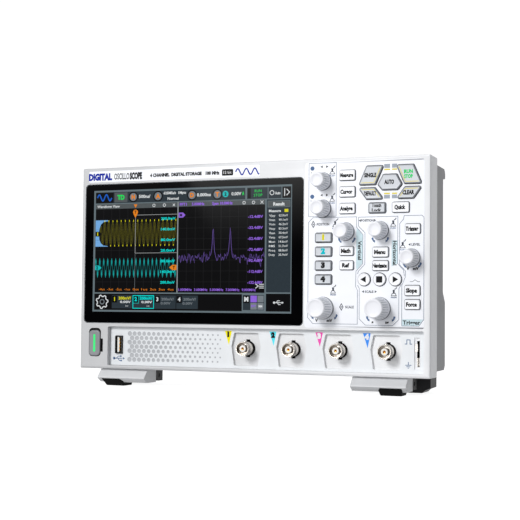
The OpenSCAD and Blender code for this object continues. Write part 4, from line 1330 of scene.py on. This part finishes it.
# The USB socket: a mouth lined in dark as painted shade, a pale tongue, and its contacts on the right side
USB_X, USB_Z = 31.1, 17.9
tongue = rectangle(USB_X - 1.35, USB_Z - 5.6, USB_X + 0.15, USB_Z + 5.6)
plates("usb_tongue", TONGUE, (tongue, [], 3.5, 9), slot="socket_steel")
mouth = rectangle(USB_X - 2.45, USB_Z - 6.1, USB_X + 2.45, USB_Z + 6.1)
frame_front = (grown(mouth, 0.32), [mouth], 2.3, 4.3)
sides = (mouth, [grown(mouth, -0.12)], 4.3, 10)
plates("usb_mouth", DARK_AND_GAP_SHADE, frame_front, sides, (mouth, [], 9.4, 9.6), slot="socket_steel")
contacts = Print(3.6, 4.4)
for k in (-1.5, -0.5, 0.5, 1.5):
    contacts.box(USB_X + 0.15, USB_Z + 2.5 * k - 0.75, USB_X + 0.6, USB_Z + 2.5 * k + 0.75)
contacts.piece("usb_contacts", GOLD, "socket_steel")

# The rear sockets: dark linings painted in as shade inside their openings, and a network socket of the
# same dark finish with a latch notch and eight contacts
linings = []
for x, width, height in ((66, 9.4, 3.4), (134, 15.2, 6), (160, 12.4, 11)):
    lining = rectangle(x - width / 2, 19 - height / 2, x + width / 2, 19 + height / 2)
    linings.append((grown(lining, -0.62), [grown(lining, -0.72)], 49.5, 59.9))
NETWORK_X = 106
block = rectangle(NETWORK_X - 7.45, 12.85, NETWORK_X + 7.45, 25.15)
steps = ((5.9, 22.6), (5.9, 16.3), (3.1, 16.3), (3.1, 15), (1.6, 15), (1.6, 13.9))
opening = [(NETWORK_X - w, z) for w, z in steps] + [(NETWORK_X + w, z) for w, z in steps[::-1]]
linings += [(block, [opening], 49.5, 59.6), (block, [], 49.1, 49.4)]
plates("socket_linings", DARK_AND_GAP_SHADE, *linings, slot="socket_steel")
contacts = Print(50, 7.5)
for k in range(8):
    x = NETWORK_X - 3.57 + 1.02 * k
    contacts.box(x - 0.22, 21.2, x + 0.22, 21.7)
contacts.piece("network_contacts", GOLD, "socket_steel")

# ---- stage, lights and camera

FLOOR = finish("floor", (149, 149, 150), (152, 152, 153), 0.8, bump=0)
glow = {"Emission Color": (1, 1, 1, 1), "Emission Strength": 0.9}
feed(FLOOR.node_tree.nodes["Principled BSDF"], glow)


def backdrop(name, faces, smooth=False):
    """A part of the set, from a list of faces in metres."""
    bm = bmesh.new()
    for corners in faces:
        bm.faces.new([bm.verts.new(corner) for corner in corners])
    bmesh.ops.remove_doubles(bm, verts=bm.verts, dist=1e-5)
    mesh = bpy.data.meshes.new(name)
    bm.to_mesh(mesh)
    bm.free()
    mesh.materials.append(FLOOR)
    if smooth:
        mesh.shade_smooth()
    obj = place_object(name, mesh)
    obj.visible_diffuse = False
    return obj


rise = [(1.6, 0), (2.2, 0.06), (2.6, 0.24), (2.85, 0.6), (2.9, 1.2), (2.9, 4)]
sweep = [(-1.4 - y, z) for y, z in rise[::-1]] + rise
floor_faces = []
for (y0, z0), (y1, z1) in zip(sweep, sweep[1:]):
    floor_faces.append([(-6, y0, z0), (6, y0, z0), (6, y1, z1), (-6, y1, z1)])
backdrop("floor", floor_faces, smooth=True)
# Walls at both sides, which only the camera sees
wall_faces = [[(x, -4.3, 0), (x, 2.9, 0), (x, 2.9, 4), (x, -4.3, 4)] for x in (-5.9, 5.9)]
side_walls = backdrop("side_walls", wall_faces)
side_walls.visible_glossy = side_walls.visible_shadow = False

world = bpy.data.worlds.new("studio")
bpy.context.scene.world = world
world.use_nodes = True
sky_light = {"Color": (0.97, 0.98, 1.0, 1), "Strength": 0.38}
feed(world.node_tree.nodes["Background"], sky_light)


def softbox(name, position, target, width, height, power):
    lamp = bpy.data.lights.new(name, "AREA")
    lamp.shape = "RECTANGLE"
    lamp.size = width
    lamp.size_y = height
    lamp.energy = power
    obj = place_object(name, lamp)
    obj.location = position
    obj.rotation_euler = (Vector(target) - Vector(position)).to_track_quat("-Z", "Y").to_euler()
    return obj


softbox("key", (-0.32, -1.32, 0.72), (0, 0, 0.08), 0.4, 0.4, 13.8)
softbox("top", (0.0, 0.5, 1.8), (0, 0, 0.1), 1.6, 1.2, 3)

# A tall window far off on the left, whose image lies aslant on the right of the glass
window = softbox("window", (-0.741, -2, 0.3), (-0.741, 0, 0.3), 0.35, 0.6, 5)
window.rotation_euler.rotate_axis("Z", radians(24.6))

camera_data = bpy.data.cameras.new("camera")
camera_data.sensor_width = 36
camera_data.lens = 76.858
camera = place_object("camera", camera_data)
forward = Vector((-0.368411, 0.928594, 0.044571))
up = Vector((0.007509, -0.044969, 0.99896))
right = forward.cross(up)
turn = Matrix((right, up, -forward)).transposed().to_4x4()
camera.matrix_world = Matrix.Translation(TO_ROW @ Vector((431.194, -723.789, 44.72))) @ turn
camera_data.clip_start = 0.01
camera_data.clip_end = 50
bpy.context.scene.camera = camera
bpy.context.scene.view_settings.view_transform = "Standard"
